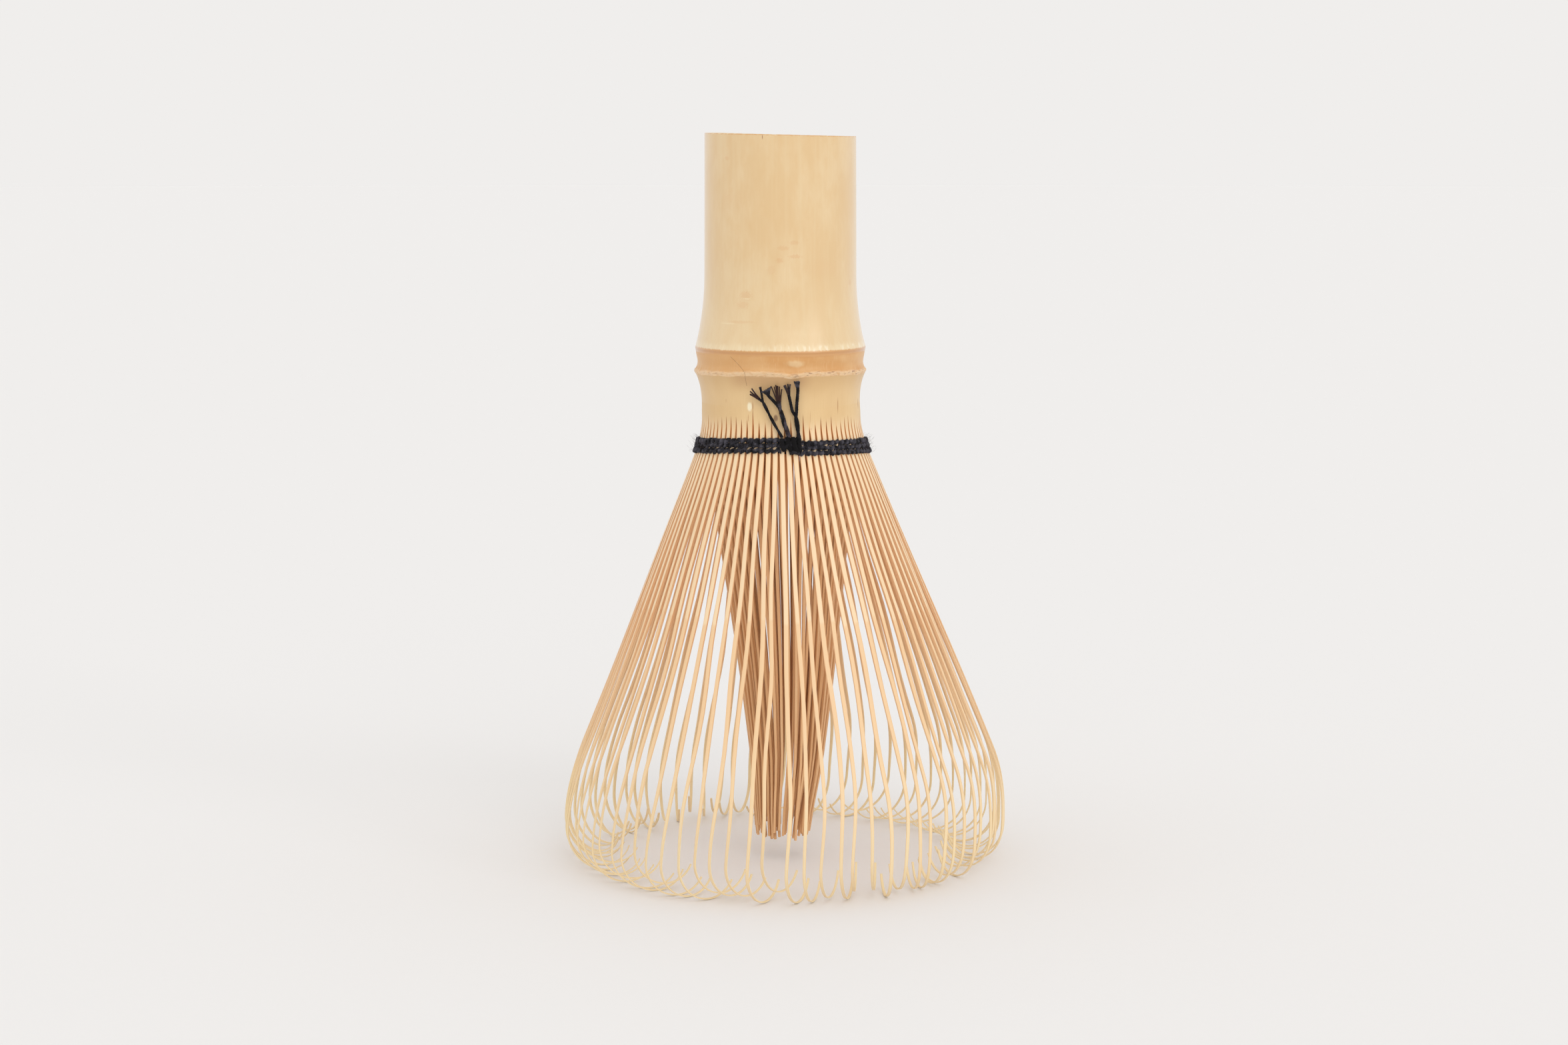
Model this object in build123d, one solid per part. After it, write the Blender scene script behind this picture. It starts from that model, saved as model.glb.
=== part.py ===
"""Bamboo tea whisk, standing handle up on its curled tine tips.

One length of bamboo culm is the handle. Below its node the wall is thinned to a collar and split
into 16 staves. Each stave is split again into 5 wide outer tines and 5 narrow inner tines. A black
cotton thread is woven round the outer tines just below the splits. It spreads them into a cage and
leaves the inner tines to close into a bundle.

Origin: under the middle of the whisk, on the level of its lowest tine tips. +Z runs up the handle's axis. The
knot of the thread is at the front, which faces -Y. Millimetres throughout.
"""

import os
import random
from bisect import bisect_right
from math import asin, cos, degrees, radians, sin, tan

from build123d import *

# Heights along the axis
TOTAL_HEIGHT = 110.0
FLARE_START_Z = 89.0
UPPER_RIDGE_Z = 78.2
BAND_TOP_Z = 77.6
GROOVE_Z = 76.0
SCAR_RIDGE_Z = 75.3
BAND_BOTTOM_Z = 74.75
WAIST_Z = 70.0

# Radii of the culm, its node and its collar
CULM_END_RADIUS = 11.25
CULM_RADIUS = 11.33
UPPER_RIDGE_RADIUS = 12.73
BAND_TOP_RADIUS = 12.52
GROOVE_RADIUS = 12.4
SCAR_RIDGE_RADIUS = 12.87
BAND_BOTTOM_RADIUS = 12.66
WAIST_RADIUS = 11.72
HOLLOW_RADIUS = 8.8
END_CUT_SLANT = 1.28

# Diaphragm that closes the culm at its node
SEPTUM_TOP_Z = 77.2
SEPTUM_BOTTOM_Z = 75.0
SEPTUM_DISH = 0.7

# Splitting
STAVES = 16
TINES_PER_STAVE = 5
TINES = STAVES * TINES_PER_STAVE
PITCH = 360.0 / TINES
OUTER_SHARE = 0.69
INNER_SHARE = 0.27
ROOT_WALL = 1.25

# Outer tines: they leave the waist on an arc, run straight, bend to vertical, then curl inwards in two arcs
WAIST_ARC_RADIUS = 22.0
CAGE_LEAN = 22.05
BELLY_ARC_RADIUS = 32.0
CURL_RADIUS = 5.6
TIP_RADIUS = 4.4
TIP_TURN = 66.0
CURL_SKEW = 24.0
FRONT_AZIMUTH = -90.0

# Hand-made unevenness of the outer tines
LEAN_SPREAD = 0.35
TIP_RISE = 1.5
RADIUS_SPREAD = 0.35
TURN_SPREAD = 9.0
SKEW_SPREAD = 4.0
AZIMUTH_SPREAD = 0.85
PARTING = 1.0
PARTING_WIDTH = 11.0
SEED = 7

# Distance along an outer tine from its root, with the width and thickness there
OUTER_REACH = (0.0, 3.6, 7.0, 36.0, 53.0, 68.0, 83.0)
OUTER_WIDTH = (0.634, 0.648, 0.72, 0.70, 0.65, 0.50, 0.38)
OUTER_DEPTH = (1.25, 0.92, 0.58, 0.44, 0.36, 0.24, 0.16)

# Inner tines: two staggered layers that close towards the axis.
# Widths at the collar, below the thread and at the end.
INNER_BEND_Z = 63.6
INNER_BEND_RADIUS = 30.0
INNER_RADIUS = 11.36
INNER_LEAN = (7.1, 7.9)
INNER_END_Z = 3.0
INNER_END_SPREAD = 2.5
INNER_WIDTH = (0.25, 0.50, 0.34)
INNER_DEPTH = (1.2, 0.5, 0.36)

# Thread: the band lies higher at the front than at the back
THREAD_RISE = 0.95
ROW_HEIGHTS = {"upper": 64.08, "middle": 63.37, "lower": 62.66}
ROW_DEPTH = 0.38
ROW_TALL = 0.68
ROW_CLEARANCE = 0.07
WEFT_Z = 63.1
WEFT_RADIUS = 11.7
WEFT_SHIFT = 0.1
WEFT_DEPTH = 0.26
WEFT_TALL = 1.6
KNOT_AZIMUTH = FRONT_AZIMUTH + 4.9
KNOT_SPAN = 12.6
KNOT_TOP_Z = 65.6
KNOT_BOTTOM_Z = 63.0
KNOT_DEPTH = 0.95
KNOT_GAP = 0.15
TAIL_RADIUS = 0.24
# Each thread end: sideways place at the knot and at its free end, height of its free end, and its layer
TAILS = (
    (0.00, -4.70, 73.20, 0),
    (0.26, -3.45, 73.80, 1),
    (0.54, -2.45, 73.10, 0),
    (0.82, -1.20, 73.90, 1),
    (1.10, -0.35, 73.80, 0),
    (1.90, 0.80, 74.20, 1),
    (2.20, 2.05, 74.35, 0),
)
TAIL_LAYERS = (12.95, 13.46)
TAIL_BOW = 0.35

UP = Vector(0, 0, 1)


def on_circle(radius, azimuth, z=0.0):
    """Point at a radius and an azimuth in degrees."""
    return Vector(radius * cos(radians(azimuth)), radius * sin(radians(azimuth)), z)


def between(value, stops, amounts):
    """Straight-line interpolation of amounts over rising stops."""
    if value <= stops[0]:
        return amounts[0]
    if value >= stops[-1]:
        return amounts[-1]
    i = bisect_right(stops, value)
    share = (value - stops[i - 1]) / (stops[i] - stops[i - 1])
    return amounts[i - 1] + share * (amounts[i] - amounts[i - 1])


def skin_radius(z):
    """Outer radius of the outer tines on the arc between the waist and the straight run."""
    lean = asin((WAIST_Z - z) / WAIST_ARC_RADIUS)
    return WAIST_RADIUS + WAIST_ARC_RADIUS * (1 - cos(lean))


def turned(outline):
    """Solid of revolution of a closed (radius, height) outline made of edges."""
    return revolve(make_face(outline), Axis.Z)


def handle_culm():
    """Hollow tube that flares to the upper ridge of the node, sawn off a little out of square."""
    top = Edge.make_line((HOLLOW_RADIUS, 0, TOTAL_HEIGHT + 1), (CULM_END_RADIUS, 0, TOTAL_HEIGHT + 1))
    side = Edge.make_line((CULM_END_RADIUS, 0, TOTAL_HEIGHT + 1), (CULM_RADIUS, 0, FLARE_START_Z))
    flare = Edge.make_tangent_arc(
        (CULM_RADIUS, 0, FLARE_START_Z), (0, 0, -1), (UPPER_RIDGE_RADIUS, 0, UPPER_RIDGE_Z)
    )
    lip = Edge.make_line((UPPER_RIDGE_RADIUS, 0, UPPER_RIDGE_Z), (BAND_TOP_RADIUS, 0, BAND_TOP_Z))
    base = Edge.make_line((BAND_TOP_RADIUS, 0, BAND_TOP_Z), (HOLLOW_RADIUS, 0, BAND_TOP_Z))
    bore = Edge.make_line((HOLLOW_RADIUS, 0, BAND_TOP_Z), (HOLLOW_RADIUS, 0, TOTAL_HEIGHT + 1))
    tube = turned([top, side, flare, lip, base, bore])
    low_side = TOTAL_HEIGHT - CULM_END_RADIUS * tan(radians(END_CUT_SLANT))
    cut = Plane(origin=(0, 0, low_side), z_dir=(sin(radians(END_CUT_SLANT)), 0, cos(radians(END_CUT_SLANT))))
    return split(tube, bisect_by=cut, keep=Keep.BOTTOM)


def node_band():
    """Ring between the two ridges of the node."""
    points = [
        (HOLLOW_RADIUS, BAND_TOP_Z),
        (BAND_TOP_RADIUS, BAND_TOP_Z),
        (GROOVE_RADIUS, GROOVE_Z),
        (SCAR_RIDGE_RADIUS, SCAR_RIDGE_Z),
        (BAND_BOTTOM_RADIUS, BAND_BOTTOM_Z),
        (HOLLOW_RADIUS, BAND_BOTTOM_Z),
    ]
    return revolve(Plane.XZ * Polygon(*points, align=None), Axis.Z)


def septum():
    """Dished diaphragm inside the node."""
    middle_top = SEPTUM_TOP_Z - SEPTUM_DISH
    middle_bottom = SEPTUM_BOTTOM_Z - SEPTUM_DISH
    rim_top = (HOLLOW_RADIUS, 0, SEPTUM_TOP_Z)
    rim_bottom = (HOLLOW_RADIUS, 0, SEPTUM_BOTTOM_Z)
    upper = Edge.make_tangent_arc((0, 0, middle_top), (1, 0, 0), rim_top)
    rim = Edge.make_line(rim_top, rim_bottom)
    lower = Edge.make_tangent_arc((0, 0, middle_bottom), (1, 0, 0), rim_bottom)
    core = Edge.make_line((0, 0, middle_bottom), (0, 0, middle_top))
    return turned([upper, rim, lower, core])


def collar():
    """Thinned wall between the node and the splits, waisted outside and hollow inside."""
    waist_outside = (WAIST_RADIUS, 0, WAIST_Z)
    waist_inside = (WAIST_RADIUS - ROOT_WALL, 0, WAIST_Z)
    band_outside = (BAND_BOTTOM_RADIUS, 0, BAND_BOTTOM_Z)
    band_inside = (HOLLOW_RADIUS, 0, BAND_BOTTOM_Z)
    swell = Edge.make_tangent_arc(waist_outside, (0, 0, 1), band_outside)
    shoulder = Edge.make_line(band_outside, band_inside)
    hollow = Edge.make_line(band_inside, waist_inside)
    foot = Edge.make_line(waist_inside, waist_outside)
    return turned([swell, shoulder, hollow, foot])


def strip(stations):
    """Solid strip through sections: skin point, sideways and inward directions, and size."""
    wires = []
    for point, side, inward, width, back_width, depth in stations:
        back = point + inward * depth
        corners = (
            point - side * (width / 2),
            point + side * (width / 2),
            back + side * (back_width / 2),
            back - side * (back_width / 2),
        )
        wires.append(Wire.make_polygon(corners, close=True))
    return Solid.make_loft(wires, ruled=True)


class OuterTine:
    """One outer tine with its own share of unevenness."""

    def __init__(self, index, dice):
        self.azimuth = index * PITCH
        self.drift = dice.uniform(-AZIMUTH_SPREAD, AZIMUTH_SPREAD) + self.parting()
        self.lean = CAGE_LEAN + dice.uniform(-LEAN_SPREAD, LEAN_SPREAD)
        self.low = TIP_RISE * dice.random() ** 2
        self.curl = CURL_RADIUS + dice.uniform(-RADIUS_SPREAD, RADIUS_SPREAD)
        self.tip = TIP_RADIUS + dice.uniform(-RADIUS_SPREAD, RADIUS_SPREAD)
        self.turn = TIP_TURN + dice.uniform(-TURN_SPREAD, TURN_SPREAD)
        self.skew = CURL_SKEW + dice.uniform(-SKEW_SPREAD, SKEW_SPREAD)

    def parting(self):
        """Sideways push, in degrees, that opens a wider gap in the cage at the front."""
        off = (self.azimuth + PITCH / 2 - FRONT_AZIMUTH + 180) % 360 - 180
        push = PARTING * 2 ** (-((off / PARTING_WIDTH) ** 2))
        return push if off > 0 else -push

    def section(self, reach, radius, z, lean):
        """Section on the part of the tine that lies in its radial plane."""
        grown = between(reach, (OUTER_REACH[2], OUTER_REACH[5]), (0.0, 1.0))
        azimuth = self.azimuth + self.drift * grown
        out = on_circle(1, azimuth)
        side = on_circle(1, azimuth + 90)
        inward = out * -cos(radians(lean)) - UP * sin(radians(lean))
        width = between(reach, OUTER_REACH, OUTER_WIDTH)
        depth = between(reach, OUTER_REACH, OUTER_DEPTH)
        back_width = width * (1 - depth / radius) if reach < OUTER_REACH[2] else width
        return out * radius + UP * z, side, inward, width, back_width, depth

    def stations(self):
        """All sections from the collar to the tip."""
        found = []
        for share in (0, 0.25, 0.5, 0.75, 1):
            lean = share * self.lean
            reach = WAIST_ARC_RADIUS * radians(lean)
            radius = WAIST_RADIUS + WAIST_ARC_RADIUS * (1 - cos(radians(lean)))
            z = WAIST_Z - WAIST_ARC_RADIUS * sin(radians(lean))
            found.append(self.section(reach, radius, z, lean))

        curl_z = self.low + self.curl
        bend_z = curl_z + BELLY_ARC_RADIUS * sin(radians(self.lean))
        run = (z - bend_z) / cos(radians(self.lean))
        for share in (0.5, 1):
            along = run * share
            found.append(
                self.section(
                    reach + along,
                    radius + along * sin(radians(self.lean)),
                    z - along * cos(radians(self.lean)),
                    self.lean,
                )
            )

        reach += run
        bend_radius = radius + run * sin(radians(self.lean))
        cage_radius = bend_radius + BELLY_ARC_RADIUS * (1 - cos(radians(self.lean)))
        for share in (0.33, 0.67, 1):
            lean = self.lean * (1 - share)
            reach_here = reach + BELLY_ARC_RADIUS * radians(self.lean - lean)
            radius_here = cage_radius - BELLY_ARC_RADIUS * (1 - cos(radians(lean)))
            z_here = curl_z + BELLY_ARC_RADIUS * sin(radians(lean))
            found.append(self.section(reach_here, radius_here, z_here, lean))
        reach += BELLY_ARC_RADIUS * radians(self.lean)

        heading_azimuth = self.azimuth + self.drift + 180 - self.skew
        heading = on_circle(1, heading_azimuth)
        side = on_circle(1, heading_azimuth - 90)
        centre = on_circle(cage_radius, self.azimuth + self.drift, curl_z) + heading * self.curl
        radius = self.curl
        turns = [22.5, 45, 67.5, 90] + [90 + self.turn * share for share in (0.33, 0.67, 1)]
        for turn in turns:
            if turn > 90 and radius == self.curl:
                centre = centre - UP * (self.curl - self.tip)
                radius = self.tip
            spoke = heading * cos(radians(turn)) + UP * sin(radians(turn))
            reach_here = reach + self.curl * radians(min(turn, 90)) + self.tip * radians(max(turn - 90, 0))
            width = between(reach_here, OUTER_REACH, OUTER_WIDTH)
            depth = between(reach_here, OUTER_REACH, OUTER_DEPTH)
            found.append((centre - spoke * radius, side, spoke, width, width, depth))
        return found


def inner_tine(index, dice):
    """One inner tine, which drops straight from the collar and then closes towards the axis."""
    azimuth = (index + 0.5) * PITCH
    lean = INNER_LEAN[index % 2]
    end_z = INNER_END_Z + INNER_END_SPREAD * dice.random()
    out = on_circle(1, azimuth)
    side = on_circle(1, azimuth + 90)

    def section(radius, z, lean, width, depth):
        inward = out * -cos(radians(lean)) + UP * sin(radians(lean))
        back_width = width * (1 - depth / radius)
        return out * radius + UP * z, side, inward, width, back_width, depth

    stations = [
        section(WAIST_RADIUS, WAIST_Z, 0, INNER_WIDTH[0], INNER_DEPTH[0]),
        section(INNER_RADIUS, INNER_BEND_Z + 1.0, 0, INNER_WIDTH[0], INNER_DEPTH[1]),
    ]
    for share in (0, 0.5, 1):
        turn = lean * share
        radius = INNER_RADIUS - INNER_BEND_RADIUS * (1 - cos(radians(turn)))
        z = INNER_BEND_Z - INNER_BEND_RADIUS * sin(radians(turn))
        width = INNER_WIDTH[0] + share * (INNER_WIDTH[1] - INNER_WIDTH[0])
        stations.append(section(radius, z, -turn, width, INNER_DEPTH[1]))
    end_radius = radius - (z - end_z) * tan(radians(lean))
    stations.append(section(end_radius, end_z, -lean, INNER_WIDTH[2], INNER_DEPTH[2]))
    return strip(stations)


def row_outline(radius, z, depth, tall, lean):
    """Flattened oval section of a wound thread, lying along a surface that leans outwards by lean."""
    place = Plane.XZ * Location((radius, z), -lean)
    return place * Ellipse(depth / 2, tall / 2)


def raised_front(ring, z, radius, shift):
    """Tilts a level ring at z front side up, and shifts it back to stay on the flare of the tines."""
    tilt = degrees(asin(THREAD_RISE / radius))
    return Pos(0, shift, z) * Rot(-tilt, 0, 0) * Pos(0, 0, -z) * ring


def braid_row(z):
    """One row of thread over the fronts of the outer tines, open where the knot sits."""
    lean = degrees(asin((WAIST_Z - z) / WAIST_ARC_RADIUS))
    front, back = skin_radius(z + THREAD_RISE), skin_radius(z - THREAD_RISE)
    radius = (front + back) / 2 + (ROW_DEPTH / 2 + ROW_CLEARANCE) * cos(radians(lean))
    open_span = KNOT_SPAN + 2 * KNOT_GAP
    start = KNOT_AZIMUTH + open_span / 2
    section = row_outline(radius, z, ROW_DEPTH, ROW_TALL, -lean)
    ring = Rot(0, 0, start) * revolve(section, Axis.Z, 360 - open_span)
    return raised_front(ring, z, radius, (back - front) / 2)


def braid_weft():
    """Thread that passes behind the outer tines and holds the inner tines off them."""
    ring = revolve(row_outline(WEFT_RADIUS, WEFT_Z, WEFT_DEPTH, WEFT_TALL, 0), Axis.Z)
    return raised_front(ring, WEFT_Z, WEFT_RADIUS, WEFT_SHIFT)


def braid_knot():
    """Flat knot that ends the rows at the front."""
    inside_top = skin_radius(KNOT_TOP_Z) + ROW_CLEARANCE
    inside_bottom = skin_radius(KNOT_BOTTOM_Z) + ROW_CLEARANCE
    points = [
        (inside_top, KNOT_TOP_Z),
        (inside_top + KNOT_DEPTH, KNOT_TOP_Z),
        (inside_bottom + KNOT_DEPTH, KNOT_BOTTOM_Z),
        (inside_bottom, KNOT_BOTTOM_Z),
    ]
    section = Plane.XZ * Polygon(*points, align=None)
    lump = Rot(0, 0, KNOT_AZIMUTH - KNOT_SPAN / 2) * revolve(section, Axis.Z, KNOT_SPAN)
    front = lump.faces().sort_by_distance(on_circle(20, KNOT_AZIMUTH, ROW_HEIGHTS["middle"]))[0]
    return fillet(front.edges(), KNOT_DEPTH * 0.45)


def thread_tail(start_x, end_x, end_z, layer):
    """One frayed end of the thread, which stands up from the knot in front of the collar."""
    front = -TAIL_LAYERS[layer]
    start = Vector(start_x, front, KNOT_TOP_Z + 0.02)
    end = Vector(end_x, front, end_z)
    middle = (start + end) / 2 + Vector(TAIL_BOW * (1 if start_x > end_x + 1 else 0.4), 0, 0)
    path = Edge.make_three_point_arc(start, middle, end)
    section = Plane(origin=start, z_dir=path.tangent_at(0)) * Circle(TAIL_RADIUS)
    return sweep(section, path=path)


def main():
    dice = random.Random(SEED)
    nodes = {
        "handle_culm": handle_culm(),
        "node_band": node_band(),
        "node_septum": septum(),
        "collar": collar(),
    }
    outer = [strip(OuterTine(index, dice).stations()) for index in range(TINES)]
    inner = [inner_tine(index, dice) for index in range(TINES)]
    for stave in range(STAVES):
        members = slice(stave * TINES_PER_STAVE, (stave + 1) * TINES_PER_STAVE)
        nodes[f"outer_tines_{stave + 1:02d}"] = Compound(children=outer[members])
        nodes[f"inner_tines_{stave + 1:02d}"] = Compound(children=inner[members])
    for name, z in ROW_HEIGHTS.items():
        nodes[f"braid_row_{name}"] = braid_row(z)
    nodes["braid_weft"] = braid_weft()
    nodes["braid_knot"] = braid_knot()
    for number, tail in enumerate(TAILS, start=1):
        nodes[f"thread_tail_{number}"] = thread_tail(*tail)

    os.makedirs("parts", exist_ok=True)
    for name, shape in nodes.items():
        export_step(shape, f"parts/{name}.step")


main()
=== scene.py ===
"""Bamboo tea whisk: the looks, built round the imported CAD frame. Metres, +Z up the handle, front to -Y."""

import random
from math import asin, copysign, cos, exp, pi, radians, sin, tan

import bmesh
import bpy
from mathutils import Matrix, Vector, noise


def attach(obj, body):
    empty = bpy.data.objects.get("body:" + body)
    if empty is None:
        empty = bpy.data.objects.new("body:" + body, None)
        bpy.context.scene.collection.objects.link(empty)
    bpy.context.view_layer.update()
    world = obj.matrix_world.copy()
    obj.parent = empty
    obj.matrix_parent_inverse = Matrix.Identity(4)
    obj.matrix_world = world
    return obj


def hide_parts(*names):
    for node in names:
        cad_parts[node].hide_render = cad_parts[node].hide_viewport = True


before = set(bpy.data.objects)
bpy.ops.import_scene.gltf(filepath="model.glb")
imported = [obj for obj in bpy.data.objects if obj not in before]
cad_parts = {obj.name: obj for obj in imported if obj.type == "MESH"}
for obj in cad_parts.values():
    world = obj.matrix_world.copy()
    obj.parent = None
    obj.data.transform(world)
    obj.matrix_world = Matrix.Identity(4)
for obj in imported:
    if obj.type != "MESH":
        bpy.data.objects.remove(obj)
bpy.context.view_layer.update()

MM = 0.001
UP = Vector((0, 0, 1))
FRONT = Vector((0, -1, 0))
ROOT = "root"

# Angles in degrees past which an edge is drawn sharp
SHARP_EDGES = 40.0
TINE_EDGES = 35.0
RIDGE_EDGES = 16.0
NO_EDGES = 180.0

# Culm, node and collar: heights and radii of the CAD model
TOTAL_HEIGHT = 0.110
FLARE_START_Z = 0.089
UPPER_RIDGE_Z = 0.0782
BAND_TOP_Z = 0.0776
GROOVE_Z = 0.0760
SCAR_RIDGE_Z = 0.0753
BAND_BOTTOM_Z = 0.07475
WAIST_Z = 0.070
CULM_END_RADIUS = 0.01125
CULM_RADIUS = 0.01133
UPPER_RIDGE_RADIUS = 0.01273
BAND_TOP_RADIUS = 0.01252
GROOVE_RADIUS = 0.0124
SCAR_RIDGE_RADIUS = 0.01287
BAND_BOTTOM_RADIUS = 0.01266
WAIST_RADIUS = 0.01172
HOLLOW_RADIUS = 0.0088
END_CUT_SLANT = 1.28
SEPTUM_TOP_Z = 0.0772
SEPTUM_BOTTOM_Z = 0.0750
SEPTUM_DISH = 0.0007

# Tines: the CAD model's numbers
STAVES = 16
TINES_PER_STAVE = 5
TINES = STAVES * TINES_PER_STAVE
PITCH = 360.0 / TINES
ROOT_WALL = 0.00125
WAIST_ARC_RADIUS = 0.022
CAGE_LEAN = 22.05
BELLY_ARC_RADIUS = 0.032
CURL_RADIUS = 0.0056
TIP_RADIUS = 0.0044
TIP_TURN = 66.0
CURL_SKEW = 24.0
FRONT_AZIMUTH = -90.0
LEAN_SPREAD = 0.35
TIP_RISE = 0.0015
RADIUS_SPREAD = 0.00035
TURN_SPREAD = 9.0
SKEW_SPREAD = 4.0
AZIMUTH_SPREAD = 0.85
PARTING = 1.0
PARTING_WIDTH = 11.0
SEED = 7

# Seeds of the unevenness that the CAD model leaves out
LOOKS_SEED = 19
SPLIT_SEED = 31
ROW_SEED = 5
THREAD_SEED = 43

# Tines' sections along their reach, and the bend and bundle of the inner tines: the CAD model's numbers
OUTER_REACH = (0.0, 0.0036, 0.007, 0.036, 0.053, 0.068, 0.083)
OUTER_WIDTH = (0.000634, 0.000648, 0.00072, 0.00070, 0.00065, 0.00050, 0.00038)
OUTER_DEPTH = (0.00125, 0.00092, 0.00058, 0.00044, 0.00036, 0.00024, 0.00016)
INNER_BEND_Z = 0.0636
INNER_BEND_RADIUS = 0.030
INNER_RADIUS = 0.01136
INNER_LEAN = (7.1, 7.9)
INNER_END_Z = 0.003
INNER_END_SPREAD = 0.0025
INNER_TIP_WIDTH = 0.00034
INNER_DEPTH = (0.0012, 0.0005, 0.00036)

# Splits between the outer tines, and the rounding of their loose edges
LONG_SPLIT = 55
SPLIT_LOW_Z = 0.0668
SPLIT_SPREAD = 0.0018
SPLIT_RUN = 0.0009
SPLIT_RUN_EVERY = 9
SPLIT_FOOT_Z = 0.0654
TINE_ROUNDING = 0.0012
HAIRLINE = 0.000001

# Stations along a tine: waist, straight run, belly, curl and tip
WAIST_STEPS = 24
RUN_STEPS = 14
BELLY_STEPS = 12
CURL_STEPS = 14
TIP_STEPS = 12

# Inner tines: how deep they start behind the skin, and their width at shares of their length
INNER_SHOW_DEPTH = 0.00012
INNER_FILL_AT = (0.0, 0.07, 0.11, 0.18, 0.35, 1.0)
INNER_FILL = (0.00044, 0.00044, 0.00062, 0.00062, 0.00048, INNER_TIP_WIDTH)

# Thread: the CAD model's numbers
THREAD_RISE = 0.00095
ROW_HEIGHTS = {"upper": 0.06408, "middle": 0.06337, "lower": 0.06266}
KNOT_AZIMUTH = FRONT_AZIMUTH + 4.9
KNOT_SPAN = 12.6

# Thread as drawn: half sizes, how proud it stands over a tine and sinks beside it, and how far its rows part
THREAD_DEEP = 0.00025
THREAD_TALL = 0.00038
THREAD_LIFT = 0.00022
THREAD_DIP = -0.00034
THREAD_STEP = 0.00018
ROW_PART = 0.00038
ROW_RINGS_PER_PITCH = 16
WEFT_Z = 0.0631
WEFT_RADIUS = 0.0117
TAIL_CLEAR = 0.00042
TAIL_LAY = 0.0045
KNOT_STEPS = 30
TAIL_STEPS = 60
FORK_POINT = 3
LINT_COUNT = 520
LINT_THICK = 0.000006
STRAY_THICK = 0.000013
COLLAR_SEGMENTS_PER_TINE = 3

# The culm grew a little to one side and the cage bellies a little to the other.
# The waist is stouter than a plain arc and the node is a little crowned.
CULM_OFFSET = -0.0004
BELLY_OFFSET = 0.00062
WAIST_SWELL = 0.014
BAND_CROWN = 0.00011


# ---------------------------------------------------------------- small helpers


def on_circle(radius, azimuth, z=0.0):
    """Point at a radius and an azimuth in degrees."""
    return Vector((radius * cos(radians(azimuth)), radius * sin(radians(azimuth)), z))


def between(value, stops, amounts):
    """Straight-line interpolation of amounts over rising stops."""
    if value <= stops[0]:
        return amounts[0]
    for low, high, start, end in zip(stops, stops[1:], amounts, amounts[1:]):
        if value <= high:
            return start + (end - start) * (value - low) / (high - low)
    return amounts[-1]


def ease(value, low, high):
    """Smooth step from 0 at low to 1 at high, which may lie either way round."""
    t = min(max((value - low) / (high - low), 0.0), 1.0)
    return t * t * (3 - 2 * t)


def off_azimuth(azimuth, centre):
    """Signed angle in degrees from centre to azimuth."""
    return (azimuth - centre + 180) % 360 - 180


def waver(azimuth, seed, cycles=1.0):
    """Smooth closed noise round the axis, from about -1 to 1."""
    place = on_circle(cycles, azimuth, seed * 7.31)
    return 2 * noise.noise(place)


def skin_radius(z):
    """Outer radius of the outer tines on the arc between the waist and the straight run."""
    if z >= WAIST_Z:
        return WAIST_RADIUS
    lean = asin((WAIST_Z - z) / WAIST_ARC_RADIUS)
    return WAIST_RADIUS + WAIST_ARC_RADIUS * (1 - cos(lean))


def arc_radius(z, z_start, r_start, z_end, r_end):
    """Radius at z on an arc that leaves (r_start, z_start) along the axis and meets (r_end, z_end)."""
    rise = abs(z_end - z_start)
    swell = r_end - r_start
    bend = (rise * rise + swell * swell) / (2 * swell)
    along = abs(z - z_start)
    return r_start + bend - (bend * bend - along * along) ** 0.5


def collar_radius(z):
    """Outer radius of the collar at z."""
    if z <= WAIST_Z:
        return WAIST_RADIUS
    return arc_radius(min(z, BAND_BOTTOM_Z), WAIST_Z, WAIST_RADIUS, BAND_BOTTOM_Z, BAND_BOTTOM_RADIUS)


def natural(point):
    """Point moved by the whisk's slight lean and swell."""
    swell = 1 + WAIST_SWELL * ease(point.z, 0.0662, 0.0690) * ease(point.z, 0.0740, 0.0705)
    offset = CULM_OFFSET * ease(point.z, 0.055, 0.0755)
    offset += BELLY_OFFSET * ease(point.z, 0.058, 0.024) * ease(point.z, 0.004, 0.017)
    return Vector((point.x * swell + offset, point.y * swell, point.z))


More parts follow.
